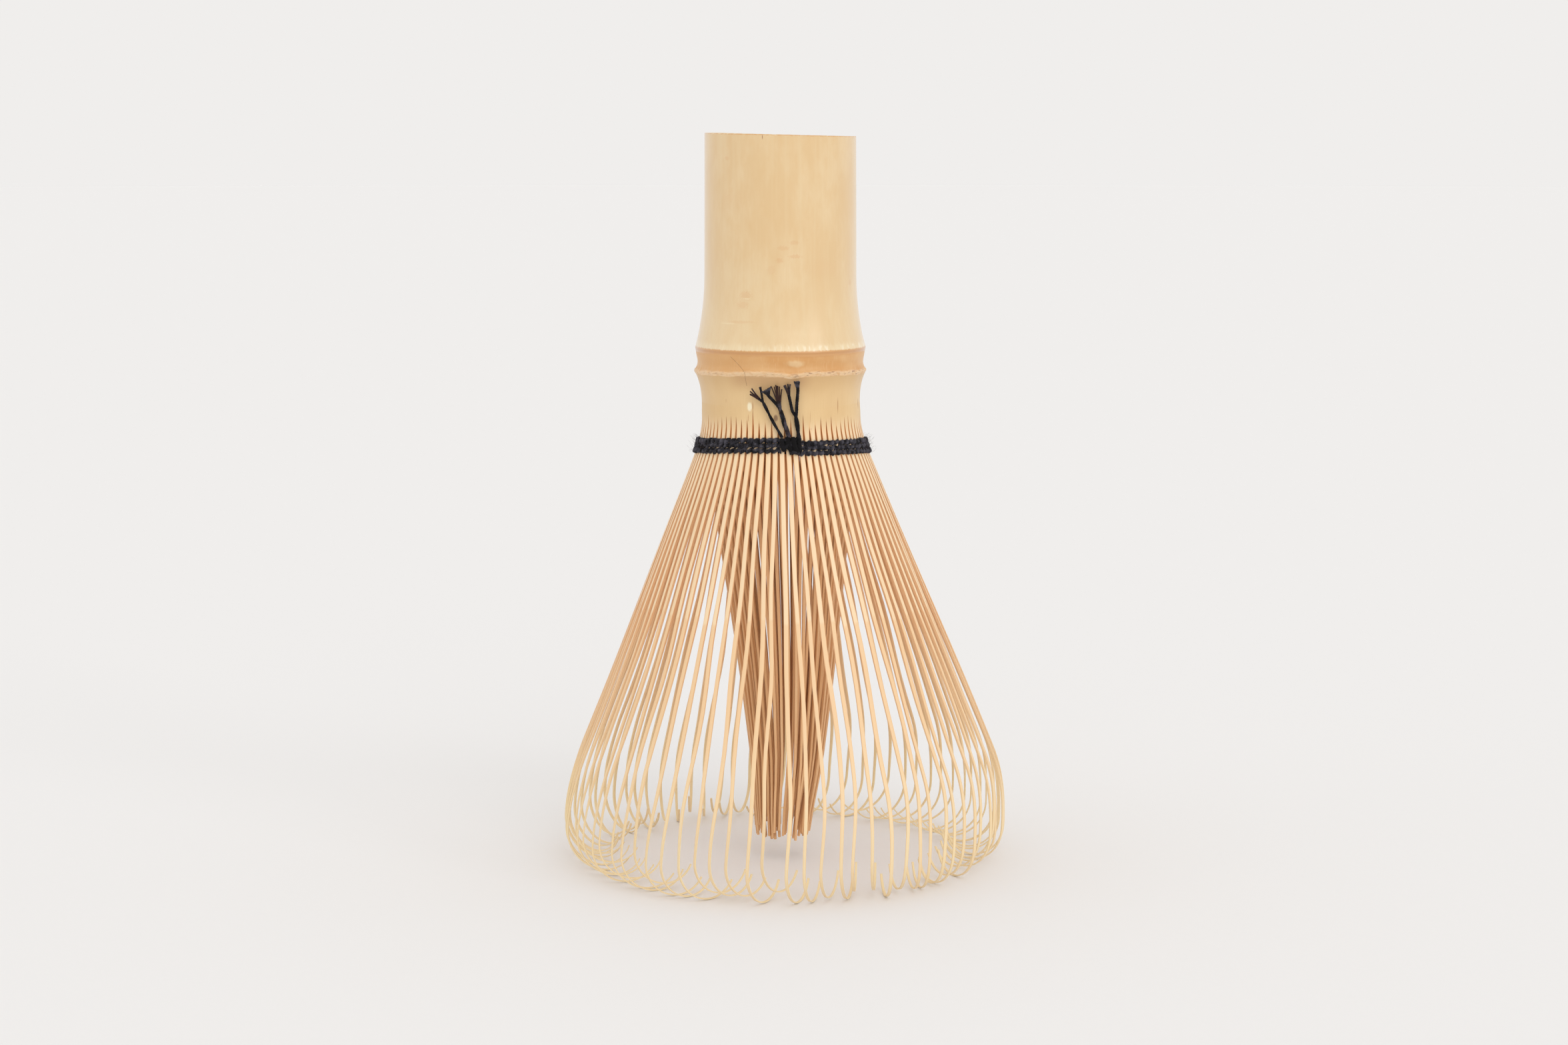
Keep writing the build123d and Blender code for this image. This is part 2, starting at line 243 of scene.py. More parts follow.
class Builder:
    """Collects vertices, faces, UVs, material numbers and tones, then makes one mesh object."""

    def __init__(self):
        self.verts = []
        self.faces = []
        self.uvs = []
        self.slots = []
        self.tones = []

    def ring(self, points, tone):
        first = len(self.verts)
        self.verts.extend(natural(point) for point in points)
        self.tones.extend([tone] * len(points))
        return first

    def face(self, corners, uvs, slot):
        self.faces.append(corners)
        self.uvs.extend(uvs)
        self.slots.append(slot)

    def join(self, low, high, count, across, v_low, v_high, slots, closed=True):
        """Quads between two rings of the same count. across holds count + 1 cross coordinates."""
        for i in range(count if closed else count - 1):
            j = (i + 1) % count
            corners = (low + i, high + i, high + j, low + j)
            uvs = ((across[i], v_low), (across[i], v_high), (across[i + 1], v_high), (across[i + 1], v_low))
            self.face(corners, uvs, slots[i])

    def cap(self, first, count, slot, flip, v):
        corners = [first + i for i in range(count)]
        if flip:
            corners.reverse()
        self.face(tuple(corners), [(self.verts[c].x, v) for c in corners], slot)

    def make(self, name, materials, sharp=SHARP_EDGES):
        mesh = bpy.data.meshes.new(name)
        mesh.from_pydata([tuple(v) for v in self.verts], [], self.faces)
        layer = mesh.uv_layers.new(name="run")
        for loop, uv in enumerate(self.uvs):
            layer.data[loop].uv = uv
        mesh.polygons.foreach_set("material_index", self.slots)
        tone = mesh.attributes.new("tone", "FLOAT", "POINT")
        tone.data.foreach_set("value", self.tones)
        for material in materials:
            mesh.materials.append(material)
        mesh.validate()
        shell = bmesh.new()
        shell.from_mesh(mesh)
        bmesh.ops.recalc_face_normals(shell, faces=shell.faces)
        shell.to_mesh(mesh)
        shell.free()
        mesh.shade_smooth()
        mesh.set_sharp_from_angle(angle=radians(sharp))
        piece = bpy.data.objects.new(name, mesh)
        bpy.context.scene.collection.objects.link(piece)
        return piece


def place(piece, slot, *nodes):
    """Rides a finished piece on the whisk in place of its CAD nodes."""
    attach(piece, ROOT)
    if nodes:
        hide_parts(*nodes)
    return piece


# ---------------------------------------------------------------- materials


class Shade:
    """A material and short ways to add nodes to it."""

    def __init__(self, name):
        self.material = bpy.data.materials.new(name)
        self.material.use_nodes = True
        self.tree = self.material.node_tree
        self.bsdf = self.tree.nodes["Principled BSDF"]

    def node(self, kind, **settings):
        made = self.tree.nodes.new(kind)
        for key, value in settings.items():
            setattr(made, key, value)
        return made

    def feed(self, socket, value):
        if isinstance(value, bpy.types.NodeSocket):
            self.tree.links.new(value, socket)
        elif isinstance(value, tuple) and len(value) == 3 and socket.type == "RGBA":
            socket.default_value = (*value, 1.0)
        else:
            socket.default_value = value

    def place(self):
        return self.node("ShaderNodeTexCoord").outputs["Object"]

    def run(self):
        return self.node("ShaderNodeUVMap", uv_map="run").outputs["UV"]

    def attribute(self, name):
        return self.node("ShaderNodeAttribute", attribute_name=name).outputs["Fac"]

    def parts(self, vector):
        split = self.node("ShaderNodeSeparateXYZ")
        self.feed(split.inputs[0], vector)
        return split.outputs

    def vector(self, x, y, z):
        join = self.node("ShaderNodeCombineXYZ")
        for socket, value in zip(join.inputs, (x, y, z)):
            self.feed(socket, value)
        return join.outputs[0]

    def scaled(self, vector, scale):
        multiply = self.node("ShaderNodeVectorMath", operation="MULTIPLY")
        self.feed(multiply.inputs[0], vector)
        multiply.inputs[1].default_value = scale
        return multiply.outputs[0]

    def math(self, operation, a, b=0.0):
        made = self.node("ShaderNodeMath", operation=operation)
        self.feed(made.inputs[0], a)
        self.feed(made.inputs[1], b)
        return made.outputs[0]

    def times(self, a, b):
        return self.math("MULTIPLY", a, b)

    def plus(self, a, b):
        return self.math("ADD", a, b)

    def minus(self, a, b):
        return self.math("SUBTRACT", a, b)

    def span(self, value, low, high, start=0.0, end=1.0):
        """Smooth map of value from low..high to start..end."""
        made = self.node("ShaderNodeMapRange", interpolation_type="SMOOTHSTEP")
        for socket, amount in zip(made.inputs, (value, low, high, start, end)):
            self.feed(socket, amount)
        return made.outputs[0]

    def noise(self, vector, scale=1.0, detail=3.0, rough=0.55):
        made = self.node("ShaderNodeTexNoise")
        self.feed(made.inputs["Vector"], vector)
        made.inputs["Scale"].default_value = scale
        made.inputs["Detail"].default_value = detail
        made.inputs["Roughness"].default_value = rough
        return made.outputs["Fac"]

    def speckle(self, vector, scales, detail, rough=0.55):
        """Noise at its own scale along each axis."""
        return self.noise(self.scaled(vector, scales), 1.0, detail, rough)

    def grain(self, across, along, tone, wide, long, rough=0.6):
        """Streaks that run along a tine or a thread."""
        vector = self.vector(self.times(across, wide), self.times(along, long), tone)
        return self.noise(vector, 1.0, 3.0, rough)

    def mix(self, share, a, b):
        made = self.node("ShaderNodeMix", data_type="RGBA")
        self.feed(made.inputs["Factor"], share)
        self.feed(made.inputs["A"], a)
        self.feed(made.inputs["B"], b)
        return made.outputs["Result"]

    def bump(self, height, strength, distance, under=None):
        made = self.node("ShaderNodeBump")
        made.inputs["Strength"].default_value = strength
        made.inputs["Distance"].default_value = distance
        self.feed(made.inputs["Height"], height)
        if under is not None:
            self.feed(made.inputs["Normal"], under)
        return made.outputs[0]

    def spot(self, vector, centre, size, ragged=0.6, seed=1.0):
        """Soft ragged patch: 1 at centre, fading out at size from it along each axis."""
        away = self.node("ShaderNodeVectorMath", operation="SUBTRACT")
        self.feed(away.inputs[0], vector)
        away.inputs[1].default_value = centre
        spread = self.scaled(away.outputs[0], tuple(1 / s for s in size))
        length = self.node("ShaderNodeVectorMath", operation="LENGTH")
        self.feed(length.inputs[0], spread)
        crumbs = self.noise(self.scaled(vector, (seed, seed, seed * 0.6)), 2500.0, 2.0)
        wobble = self.times(self.minus(crumbs, 0.5), ragged * 2)
        return self.span(self.plus(length.outputs["Value"], wobble), 1.15, 0.45)

    def finish(self, colour, roughness, normal=None, specular=0.4, bloom=0.0):
        self.feed(self.bsdf.inputs["Base Color"], colour)
        self.feed(self.bsdf.inputs["Roughness"], roughness)
        self.bsdf.inputs["Specular IOR Level"].default_value = specular
        self.bsdf.inputs["Sheen Weight"].default_value = bloom
        self.bsdf.inputs["Sheen Roughness"].default_value = 0.4
        if normal is not None:
            self.feed(self.bsdf.inputs["Normal"], normal)
        return self.material


# Reach along an outer tine where its skin has been shaved away
SHAVED_FROM = 0.0323

# Cross coordinate from one outer tine to the next, between its corners, and at the middle of its skin
TINE_STEP = 0.0043
CORNER_STEP = 0.00025
FRONT_MIDDLE = 1.5 * CORNER_STEP

# Faint marks on the handle: place, size, seed and strength
SMUDGES = (
    ((0.0016, -0.0112, 0.0941), (0.00088, 0.004, 0.00040), 1.0, 0.25),
    ((0.0000, -0.0113, 0.0933), (0.00096, 0.004, 0.00040), 1.7, 0.25),
    ((0.0018, -0.0111, 0.0921), (0.00104, 0.004, 0.00032), 2.2, 0.30),
    ((-0.0005, -0.0113, 0.0915), (0.00064, 0.004, 0.00040), 2.9, 0.30),
    ((-0.0017, -0.0113, 0.0901), (0.00072, 0.004, 0.00080), 3.3, 0.17),
    ((-0.0054, -0.0102, 0.0864), (0.00096, 0.004, 0.00072), 3.1, 0.28),
    ((-0.0059, -0.0099, 0.0850), (0.00096, 0.004, 0.00064), 3.6, 0.25),
    ((-0.0060, -0.0099, 0.0825), (0.00240, 0.004, 0.00024), 2.6, 0.20),
    ((-0.0082, -0.0083, 0.1063), (0.00032, 0.004, 0.00032), 4.0, 0.25),
    ((0.0099, -0.0047, 0.0880), (0.00024, 0.004, 0.00048), 4.4, 0.25),
    ((-0.0075, -0.0089, 0.1000), (0.00240, 0.004, 0.00160), 5.3, 0.07),
    ((0.0060, -0.0094, 0.0902), (0.00320, 0.004, 0.00176), 4.9, 0.07),
    ((-0.0040, 0.0104, 0.0960), (0.0012, 0.0040, 0.0020), 5.0, 0.30),
    ((0.0105, 0.0030, 0.0880), (0.0040, 0.0009, 0.0010), 6.0, 0.30),
)
SCRATCHES = (
    ((-0.0053, -0.0102, 0.0859), (0.0006, 0.004, 0.00014)),
    ((-0.0080, -0.0084, 0.0822), (0.0014, 0.004, 0.00012)),
)

# Marks on the waist: place, size, colour name and strength
WAIST_MARKS = (
    ((-0.00490, -0.0108, 0.0701), (0.00040, 0.002, 0.00072), "chip", 1.0),
    ((-0.00105, -0.0117, 0.0685), (0.00036, 0.002, 0.00060), "stain", 0.8),
    ((-0.00443, -0.0109, 0.0702), (0.00007, 0.002, 0.0007), "crack", 0.8),
    ((0.00400, -0.0110, 0.0685), (0.00005, 0.002, 0.0012), "crack", 0.4),
    ((0.00415, -0.0110, 0.0668), (0.00012, 0.002, 0.0002), "crack", 0.5),
    ((0.0081, -0.0086, 0.0701), (0.00006, 0.002, 0.0013), "crack", 0.8),
    ((-0.0084, -0.0082, 0.0708), (0.00005, 0.002, 0.0004), "crack", 0.4),
    ((-0.0051, -0.0107, 0.0684), (0.00007, 0.002, 0.0006), "crack", 0.5),
    ((0.0112, -0.0029, 0.0699), (0.0008, 0.00016, 0.0009), "crack", 0.9),
)

# Colours, linear
SKIN_PALE = (0.790, 0.590, 0.335)
SKIN_DEEP = (0.745, 0.520, 0.265)
SKIN_AMBER = (0.745, 0.505, 0.245)
SKIN_LIGHT = (0.800, 0.630, 0.375)
SMUDGE = (0.680, 0.360, 0.150)
FRINGE = (0.850, 0.690, 0.430)
TICK_WHITE = (0.930, 0.840, 0.640)
NODE_TAN = (0.660, 0.345, 0.125)
# Painted shade under the upper ridge
NODE_PAINTED_SHADE = (0.470, 0.210, 0.070)
NODE_LIGHT = (0.720, 0.430, 0.190)
BUD_PALE = (0.820, 0.600, 0.340)
SCAR_PALE = (0.840, 0.600, 0.360)
SCAR_BROWN = (0.270, 0.105, 0.055)
COLLAR_PALE = (0.795, 0.565, 0.292)
COLLAR_TAN = (0.655, 0.420, 0.193)
# Painted shade under the scar
COLLAR_PAINTED_SHADE = (0.500, 0.270, 0.130)
CHIP_PALE = (0.940, 0.830, 0.580)
STAIN_BROWN = (0.220, 0.110, 0.060)
# Split wood's orange, also used as painted glow in the splits and gaps
SPLIT_ORANGE_AND_GLOW = (0.820, 0.420, 0.160)
CRACK_BROWN = (0.400, 0.160, 0.060)
TINE_CREAM = (0.895, 0.685, 0.437)
TINE_TAN = (0.850, 0.590, 0.340)
TINE_TIP = (0.870, 0.710, 0.440)
TINE_SIDE = (0.820, 0.490, 0.260)
TINE_SIDE_LOW = (0.840, 0.590, 0.350)
INNER_TAN = (0.800, 0.490, 0.255)
INNER_DEEP = (0.660, 0.365, 0.170)
FLESH = (0.800, 0.640, 0.400)
FLESH_PORE = (0.480, 0.290, 0.130)
COTTON = (0.0070, 0.0062, 0.0068)
# Faint blue of the strands, also used as painted sheen
COTTON_BLUE_AND_SHEEN = (0.0800, 0.0760, 0.0940)
COTTON_BROWN = (0.052, 0.026, 0.022)
FLOOR_PALE = (0.8620, 0.8605, 0.8590)
FLOOR_TOOTH = (0.8520, 0.8505, 0.8490)


def culm_skin():
    """Dried bamboo skin: glossy and cloudy, with faint fibres, smudges, a pale fringe at the node and a
    painted shadow under the upper ridge.
    """
    s = Shade("bamboo_skin")
    p = s.place()
    x, y, z = s.parts(p)
    cloud = s.speckle(p, (150, 150, 60), 4.0, 0.6)
    mottle = s.speckle(p, (620, 620, 330), 3.0, 0.6)
    fibre = s.speckle(p, (5200, 5200, 140), 2.0, 0.6)
    streak = s.speckle(p, (900, 900, 30), 2.0, 0.5)
    colour = s.mix(s.span(cloud, 0.38, 0.62), SKIN_PALE, SKIN_DEEP)
    colour = s.mix(s.span(mottle, 0.42, 0.72, 0.0, 0.4), colour, SKIN_AMBER)
    colour = s.mix(s.span(streak, 0.45, 0.75, 0.0, 0.3), colour, SKIN_LIGHT)
    colour = s.mix(s.span(fibre, 0.45, 0.75, 0.0, 0.3), colour, SKIN_DEEP)
    colour = s.mix(s.span(z, 0.096, 0.080, 0.0, 0.25), colour, SKIN_LIGHT)
    for centre, size, seed, amount in SMUDGES:
        patch = s.spot(p, centre, size, 0.9, seed)
        colour = s.mix(s.times(patch, amount), colour, SMUDGE)
    for centre, size in SCRATCHES:
        colour = s.mix(s.times(s.spot(p, centre, size, 0.5, 2.0), 0.55), colour, FRINGE)
    fringe = s.speckle(p, (2600, 2600, 240), 2.0, 0.5)
    reach = s.plus(z, s.times(s.minus(fringe, 0.5), -0.0018))
    colour = s.mix(s.span(reach, 0.0796, 0.0786, 0.0, 0.55), colour, FRINGE)
    ticks = s.speckle(p, (2100, 2100, 200), 1.0, 0.4)
    row = s.times(s.span(z, 0.0793, 0.0788), s.span(x, -0.004, 0.003, 0.15, 0.5))
    colour = s.mix(s.times(s.span(ticks, 0.5, 0.62), row), colour, TICK_WHITE)
    frayed = s.plus(z, s.times(s.minus(fringe, 0.5), 0.0003))
    colour = s.mix(s.span(frayed, UPPER_RIDGE_Z + 0.00025, UPPER_RIDGE_Z + 0.00003), colour, NODE_TAN)
    # Painted shadow: a deeper line on the underside of the upper ridge.
    line = s.times(s.span(z, UPPER_RIDGE_Z, UPPER_RIDGE_Z - 0.00012), s.span(z, 0.0777, 0.0779))
    colour = s.mix(s.times(line, 0.35), colour, NODE_PAINTED_SHADE)
    saw = s.speckle(p, (2600, 2600, 1500), 2.0, 0.6)
    rim = s.plus(z, s.times(x, tan(radians(END_CUT_SLANT))))
    rim = s.plus(rim, s.times(saw, 0.0003))
    colour = s.mix(s.span(rim, 0.10970, 0.10985, 0.0, 0.75), colour, NODE_TAN)
    crack = s.spot(p, (-0.0030, -0.0109, 0.1094), (0.00007, 0.002, 0.00035), 0.2, 1.0)
    colour = s.mix(s.times(crack, 0.8), colour, SCAR_BROWN)
    rough = s.span(streak, 0.3, 0.7, 0.34, 0.44)
    bump = s.bump(fibre, 0.15, 0.00003)
    bump = s.bump(cloud, 0.15, 0.0004, bump)
    material = s.finish(colour, rough, bump, 0.5, 0.35)
    s.bsdf.inputs["Coat Weight"].default_value = 0.6
    s.bsdf.inputs["Coat Roughness"].default_value = 0.22
    return material


def node_skin():
    """Orange-tan skin between the ridges, with painted shade under the upper ridge and painted light on its
    left side, a pale bud, and a flaking sheath scar along the lower ridge.
    """
    s = Shade("bamboo_node")
    p = s.place()
    x, y, z = s.parts(p)
    along = s.parts(s.run())[1]
    cloud = s.speckle(p, (160, 160, 240), 3.0)
    fibre = s.speckle(p, (3800, 3800, 160), 2.0, 0.6)
    crumbs = s.speckle(p, (1300, 1300, 2600), 4.0, 0.7)
    colour = s.mix(s.span(cloud, 0.35, 0.68), NODE_TAN, NODE_LIGHT)
    colour = s.mix(s.span(fibre, 0.5, 0.8, 0.0, 0.2), colour, SCAR_PALE)
    # Painted shade: the band's top, under the upper ridge, is deepened.
    colour = s.mix(s.span(along, 0.0772, BAND_TOP_Z, 0.0, 0.15), colour, NODE_PAINTED_SHADE)
    # Painted light: the band's left side is lightened.
    colour = s.mix(s.span(x, -0.003, -0.010, 0.0, 0.5), colour, NODE_LIGHT)
    bud = s.spot(p, (0.0019, -0.0123, 0.0765), (0.0014, 0.004, 0.00062), 0.45, 0.6)
    colour = s.mix(s.times(bud, 0.65), colour, BUD_PALE)
    ragged = s.plus(along, s.times(s.minus(crumbs, 0.5), 0.0006))
    scar = s.span(ragged, SCAR_RIDGE_Z + 0.00022, SCAR_RIDGE_Z)
    colour = s.mix(s.times(scar, s.span(crumbs, 0.34, 0.55, 0.35, 0.95)), colour, SCAR_PALE)
    tear = s.speckle(p, (900, 900, 4200), 3.0, 0.6)
    near = s.times(s.span(along, SCAR_RIDGE_Z + 0.0002, SCAR_RIDGE_Z), s.span(tear, 0.57, 0.66))
    side = s.span(x, -0.002, 0.006, 0.3, 0.8)
    colour = s.mix(s.times(near, side), colour, SCAR_BROWN)
    bump = s.bump(fibre, 0.2, 0.00005)
    low = s.span(along, SCAR_RIDGE_Z + 0.0003, SCAR_RIDGE_Z)
    bump = s.bump(s.times(crumbs, low), 0.35, 0.00008, bump)
    return s.finish(colour, 0.46, bump, 0.4, 0.2)


def collar_colour(s, p):
    """Tone and marks of the waist's skin, darker tan towards the node, with painted shade under the scar at
    the front. The tines' roots share it.
    """
    x, _, z = s.parts(p)
    cloud = s.speckle(p, (110, 110, 60), 3.0)
    fibre = s.speckle(p, (5200, 5200, 90), 2.0, 0.6)
    colour = s.mix(s.span(cloud, 0.35, 0.68, 0.0, 0.5), COLLAR_PALE, COLLAR_TAN)
    colour = s.mix(s.span(fibre, 0.5, 0.8, 0.0, 0.2), colour, COLLAR_TAN)
    colour = s.mix(s.span(z, 0.0705, 0.0752, 0.0, 0.8), colour, COLLAR_TAN)
    # Painted shade under the scar, across the front only.
    front = s.times(s.span(x, -0.0085, -0.0060), s.span(x, 0.0050, 0.0025))
    colour = s.mix(s.times(front, s.span(z, 0.0718, 0.0743, 0.0, 0.45)), colour, COLLAR_PAINTED_SHADE)
    tones = {"chip": CHIP_PALE, "stain": STAIN_BROWN, "crack": CRACK_BROWN}
    for centre, size, kind, amount in WAIST_MARKS:
        colour = s.mix(s.times(s.spot(p, centre, size, 0.25, 1.0), amount), colour, tones[kind])
    return colour, fibre


def collar_skin():
    """Skin of the waist, thinner and duller than the handle's, with the marks of its carving."""
    s = Shade("bamboo_collar")
    p = s.place()
    z = s.parts(p)[2]
    colour, fibre = collar_colour(s, p)
    crumbs = s.speckle(p, (1500, 1500, 2400), 4.0, 0.7)
    lip = s.span(z, BAND_BOTTOM_Z - 0.0003, BAND_BOTTOM_Z)
    colour = s.mix(s.times(lip, s.span(crumbs, 0.4, 0.6, 0.2, 0.9)), colour, SCAR_PALE)
    return s.finish(colour, 0.42, s.bump(fibre, 0.2, 0.00004), 0.45, 0.2)


def tine_skin():
    """Front of an outer tine: collar colour at the root, cream, tan past the shaving mark, pale tip, and
    painted orange shade along its edges.
    """
    s = Shade("tine_skin")
    p = s.place()
    across, along, _ = s.parts(s.run())
    tone = s.attribute("tone")
    streak = s.grain(across, along, tone, 3200.0, 110.0)
    slow = s.noise(s.vector(across, s.times(along, 60.0), s.times(tone, 90.0)), 1.0, 2.0)
    root = collar_colour(s, p)[0]
    colour = TINE_CREAM
    mark = s.plus(along, s.times(s.minus(streak, 0.5), 0.0012))
    jitter = s.times(s.minus(tone, 0.5), 0.0014)
    mark = s.plus(mark, jitter)
    colour = s.mix(s.span(mark, SHAVED_FROM - 0.0003, SHAVED_FROM + 0.0003), colour, TINE_TAN)
    colour = s.mix(s.span(along, 0.044, 0.068), colour, TINE_TIP)
    colour = s.mix(s.span(streak, 0.5, 0.78, 0.0, 0.3), colour, TINE_TAN)
    colour = s.mix(s.span(slow, 0.45, 0.75, 0.0, 0.3), colour, TINE_SIDE_LOW)
    colour = s.mix(s.span(tone, 0.0, 1.0, 0.0, 0.25), colour, TINE_TAN)
    colour = s.mix(s.span(along, 0.0012, 0.0052), root, colour)
    # Painted shade: the skin's edges take the split's orange, strongest just below the splits and fainter on
    # down to the tip.
    off_middle = s.math("ABSOLUTE", s.minus(s.math("MODULO", across, TINE_STEP), FRONT_MIDDLE))
    edge = s.span(off_middle, 0.6 * FRONT_MIDDLE, FRONT_MIDDLE)
    painted_edge_shade = s.minus(s.span(along, 0.0013, 0.0040, 0.0, 0.8), s.span(along, 0.007, 0.014, 0.0, 0.4))
    colour = s.mix(s.times(edge, painted_edge_shade), colour, SPLIT_ORANGE_AND_GLOW)
    return s.finish(colour, 0.42, s.bump(streak, 0.25, 0.00004), 0.4)


def tine_split():
    """Split sides and inner face of an outer tine: orange-brown wood that pales where it is shaved thin,
    deepest orange at the root, partly its own colour and partly painted glow of light bounced in the splits.
    """
    s = Shade("tine_split")
    across, along, _ = s.parts(s.run())
    tone = s.attribute("tone")
    streak = s.grain(across, along, tone, 2600.0, 90.0)
    # Deeper orange at the root: partly the split wood's colour, partly painted glow of light bounced in the
    # splits.
    colour = s.mix(s.span(along, 0.003, 0.009), SPLIT_ORANGE_AND_GLOW, TINE_SIDE)
    colour = s.mix(s.span(streak, 0.42, 0.75, 0.0, 0.5), colour, TINE_SIDE_LOW)
    colour = s.mix(s.span(along, 0.030, 0.050), colour, TINE_SIDE_LOW)
    colour = s.mix(s.span(along, 0.050, 0.068), colour, TINE_TIP)
    return s.finish(colour, 0.55, s.bump(streak, 0.3, 0.00005), 0.3)


def inner_wood():
    """Narrow inner tines: tan-brown split wood, turning to the split's orange near the root, partly its own
    colour and partly painted glow of light bounced in the gaps.
    """
    s = Shade("inner_tine")
    across, along, _ = s.parts(s.run())
    tone = s.attribute("tone")
    streak = s.grain(across, along, tone, 2600.0, 80.0)
    colour = s.mix(s.span(tone, 0.0, 1.0), INNER_TAN, INNER_DEEP)
    colour = s.mix(s.span(streak, 0.45, 0.75, 0.0, 0.45), colour, TINE_SIDE_LOW)
    # Deeper orange towards the root: partly the split wood's colour, partly painted glow of light bounced in
    # the gaps.
    colour = s.mix(s.span(along, 0.017, 0.004, 0.0, 0.9), colour, SPLIT_ORANGE_AND_GLOW)
    return s.finish(colour, 0.55, s.bump(streak, 0.3, 0.00005), 0.3)


def flesh():
    """Sawn end and hollow of the culm: pale wood dotted with the dark ends of its fibres."""
    s = Shade("bamboo_flesh")
    p = s.place()
    cells = s.node("ShaderNodeTexVoronoi")
    s.feed(cells.inputs["Vector"], s.scaled(p, (1500, 1500, 45)))
    cells.inputs["Scale"].default_value = 1.0
    pores = s.span(cells.outputs["Distance"], 0.32, 0.12)
    cloud = s.speckle(p, (300, 300, 60), 3.0)
    colour = s.mix(s.span(cloud, 0.3, 0.7), FLESH, SKIN_DEEP)
    colour = s.mix(s.times(pores, 0.7), colour, FLESH_PORE)
    return s.finish(colour, 0.7, s.bump(pores, -0.3, 0.00006), 0.25)


def cotton():
    """Black twisted cotton: faint blue strands, which also serve as a painted sheen that is fullest on the
    rows, browner where its ends are frayed, matt, with fine fibres.
    """
    s = Shade("black_cotton")
    across, along, _ = s.parts(s.run())
    tone = s.attribute("tone")
    fibre = s.grain(across, along, tone, 9.0, 9000.0, 0.7)
    cast = s.speckle(s.place(), (700, 700, 1400), 2.0)
    # Painted sheen: how much light blue goes in, fullest on the rows and least on the knot; partly the
    # thread's own navy.
    blue_and_sheen = s.span(tone, 0.0, 0.3)
    colour = s.mix(s.times(s.span(cast, 0.4, 0.65), blue_and_sheen), COTTON, COTTON_BLUE_AND_SHEEN)
    colour = s.mix(s.times(s.span(fibre, 0.4, 0.7, 0.0, 0.5), blue_and_sheen), colour, COTTON_BLUE_AND_SHEEN)
    colour = s.mix(s.span(tone, 0.45, 0.9), colour, COTTON_BROWN)
    return s.finish(colour, 0.88, s.bump(fibre, 0.8, 0.00012), 0.14, 0.05)


def floor_paper():
    """Plain pale sweep with a very faint tooth."""
    s = Shade("pale_sweep")
    grain = s.speckle(s.place(), (900, 900, 900), 2.0)
    colour = s.mix(s.span(grain, 0.3, 0.7, 0.0, 0.25), FLOOR_PALE, FLOOR_TOOTH)
    return s.finish(colour, 0.8, s.bump(grain, 0.05, 0.0002), 0.2)


SKIN = culm_skin()
NODE = node_skin()
COLLAR = collar_skin()
TINE_FRONT = tine_skin()
TINE_BACK = tine_split()
INNER = inner_wood()
FLESH_WOOD = flesh()
THREAD = cotton()


# ---------------------------------------------------------------- handle, node and collar


def lathe(name, profile, materials, segments, shape, tone=0.5, sharp=SHARP_EDGES):
    """Closed body of revolution. profile is a loop of (radius, z, material number of the next face)."""
    made = Builder()
    azimuths = [360.0 * i / segments for i in range(segments)]
    across = [radians(azimuth) * WAIST_RADIUS for azimuth in azimuths + [360.0]]
    firsts = []
    for radius, z, _ in profile:
        made_ring = [on_circle(*shape(radius, z, azimuth)) for azimuth in azimuths]
        firsts.append(made.ring(made_ring, tone))
    for i, (_, z, slot) in enumerate(profile):
        j = (i + 1) % len(profile)
        made.join(firsts[i], firsts[j], segments, across, z, profile[j][1], [slot] * segments)
    return made.make(name, materials, sharp)


def steps(start, end, count):
    """count + 1 even values from start to end."""
    return [start + (end - start) * i / count for i in range(count + 1)]


def ridge_wave(azimuth):
    """Hand-sized unevenness of the upper ridge's height."""
    return 0.00010 * waver(azimuth, 1, 1.3) + 0.00004 * waver(azimuth, 2, 4)


def scar_wave(azimuth):
    """Ragged height of the lower ridge, which droops under the bud."""
    droop = 0.00042 * 2 ** (-((off_azimuth(azimuth, FRONT_AZIMUTH + 7) / 9) ** 2))
    lump = 0.00016 * 2 ** (-((off_azimuth(azimuth, FRONT_AZIMUTH - 38) / 8) ** 2))
    sides = 0.00045 * sin(radians(off_azimuth(azimuth, FRONT_AZIMUTH))) ** 2
    return 0.00008 * waver(azimuth, 3, 1.5) + 0.00006 * waver(azimuth, 4, 9) - droop - lump - sides


def oval(azimuth):
    """The culm is not quite round."""
    return 1 + 0.004 * cos(radians(2 * azimuth + 40)) + 0.0015 * waver(azimuth, 5, 2)


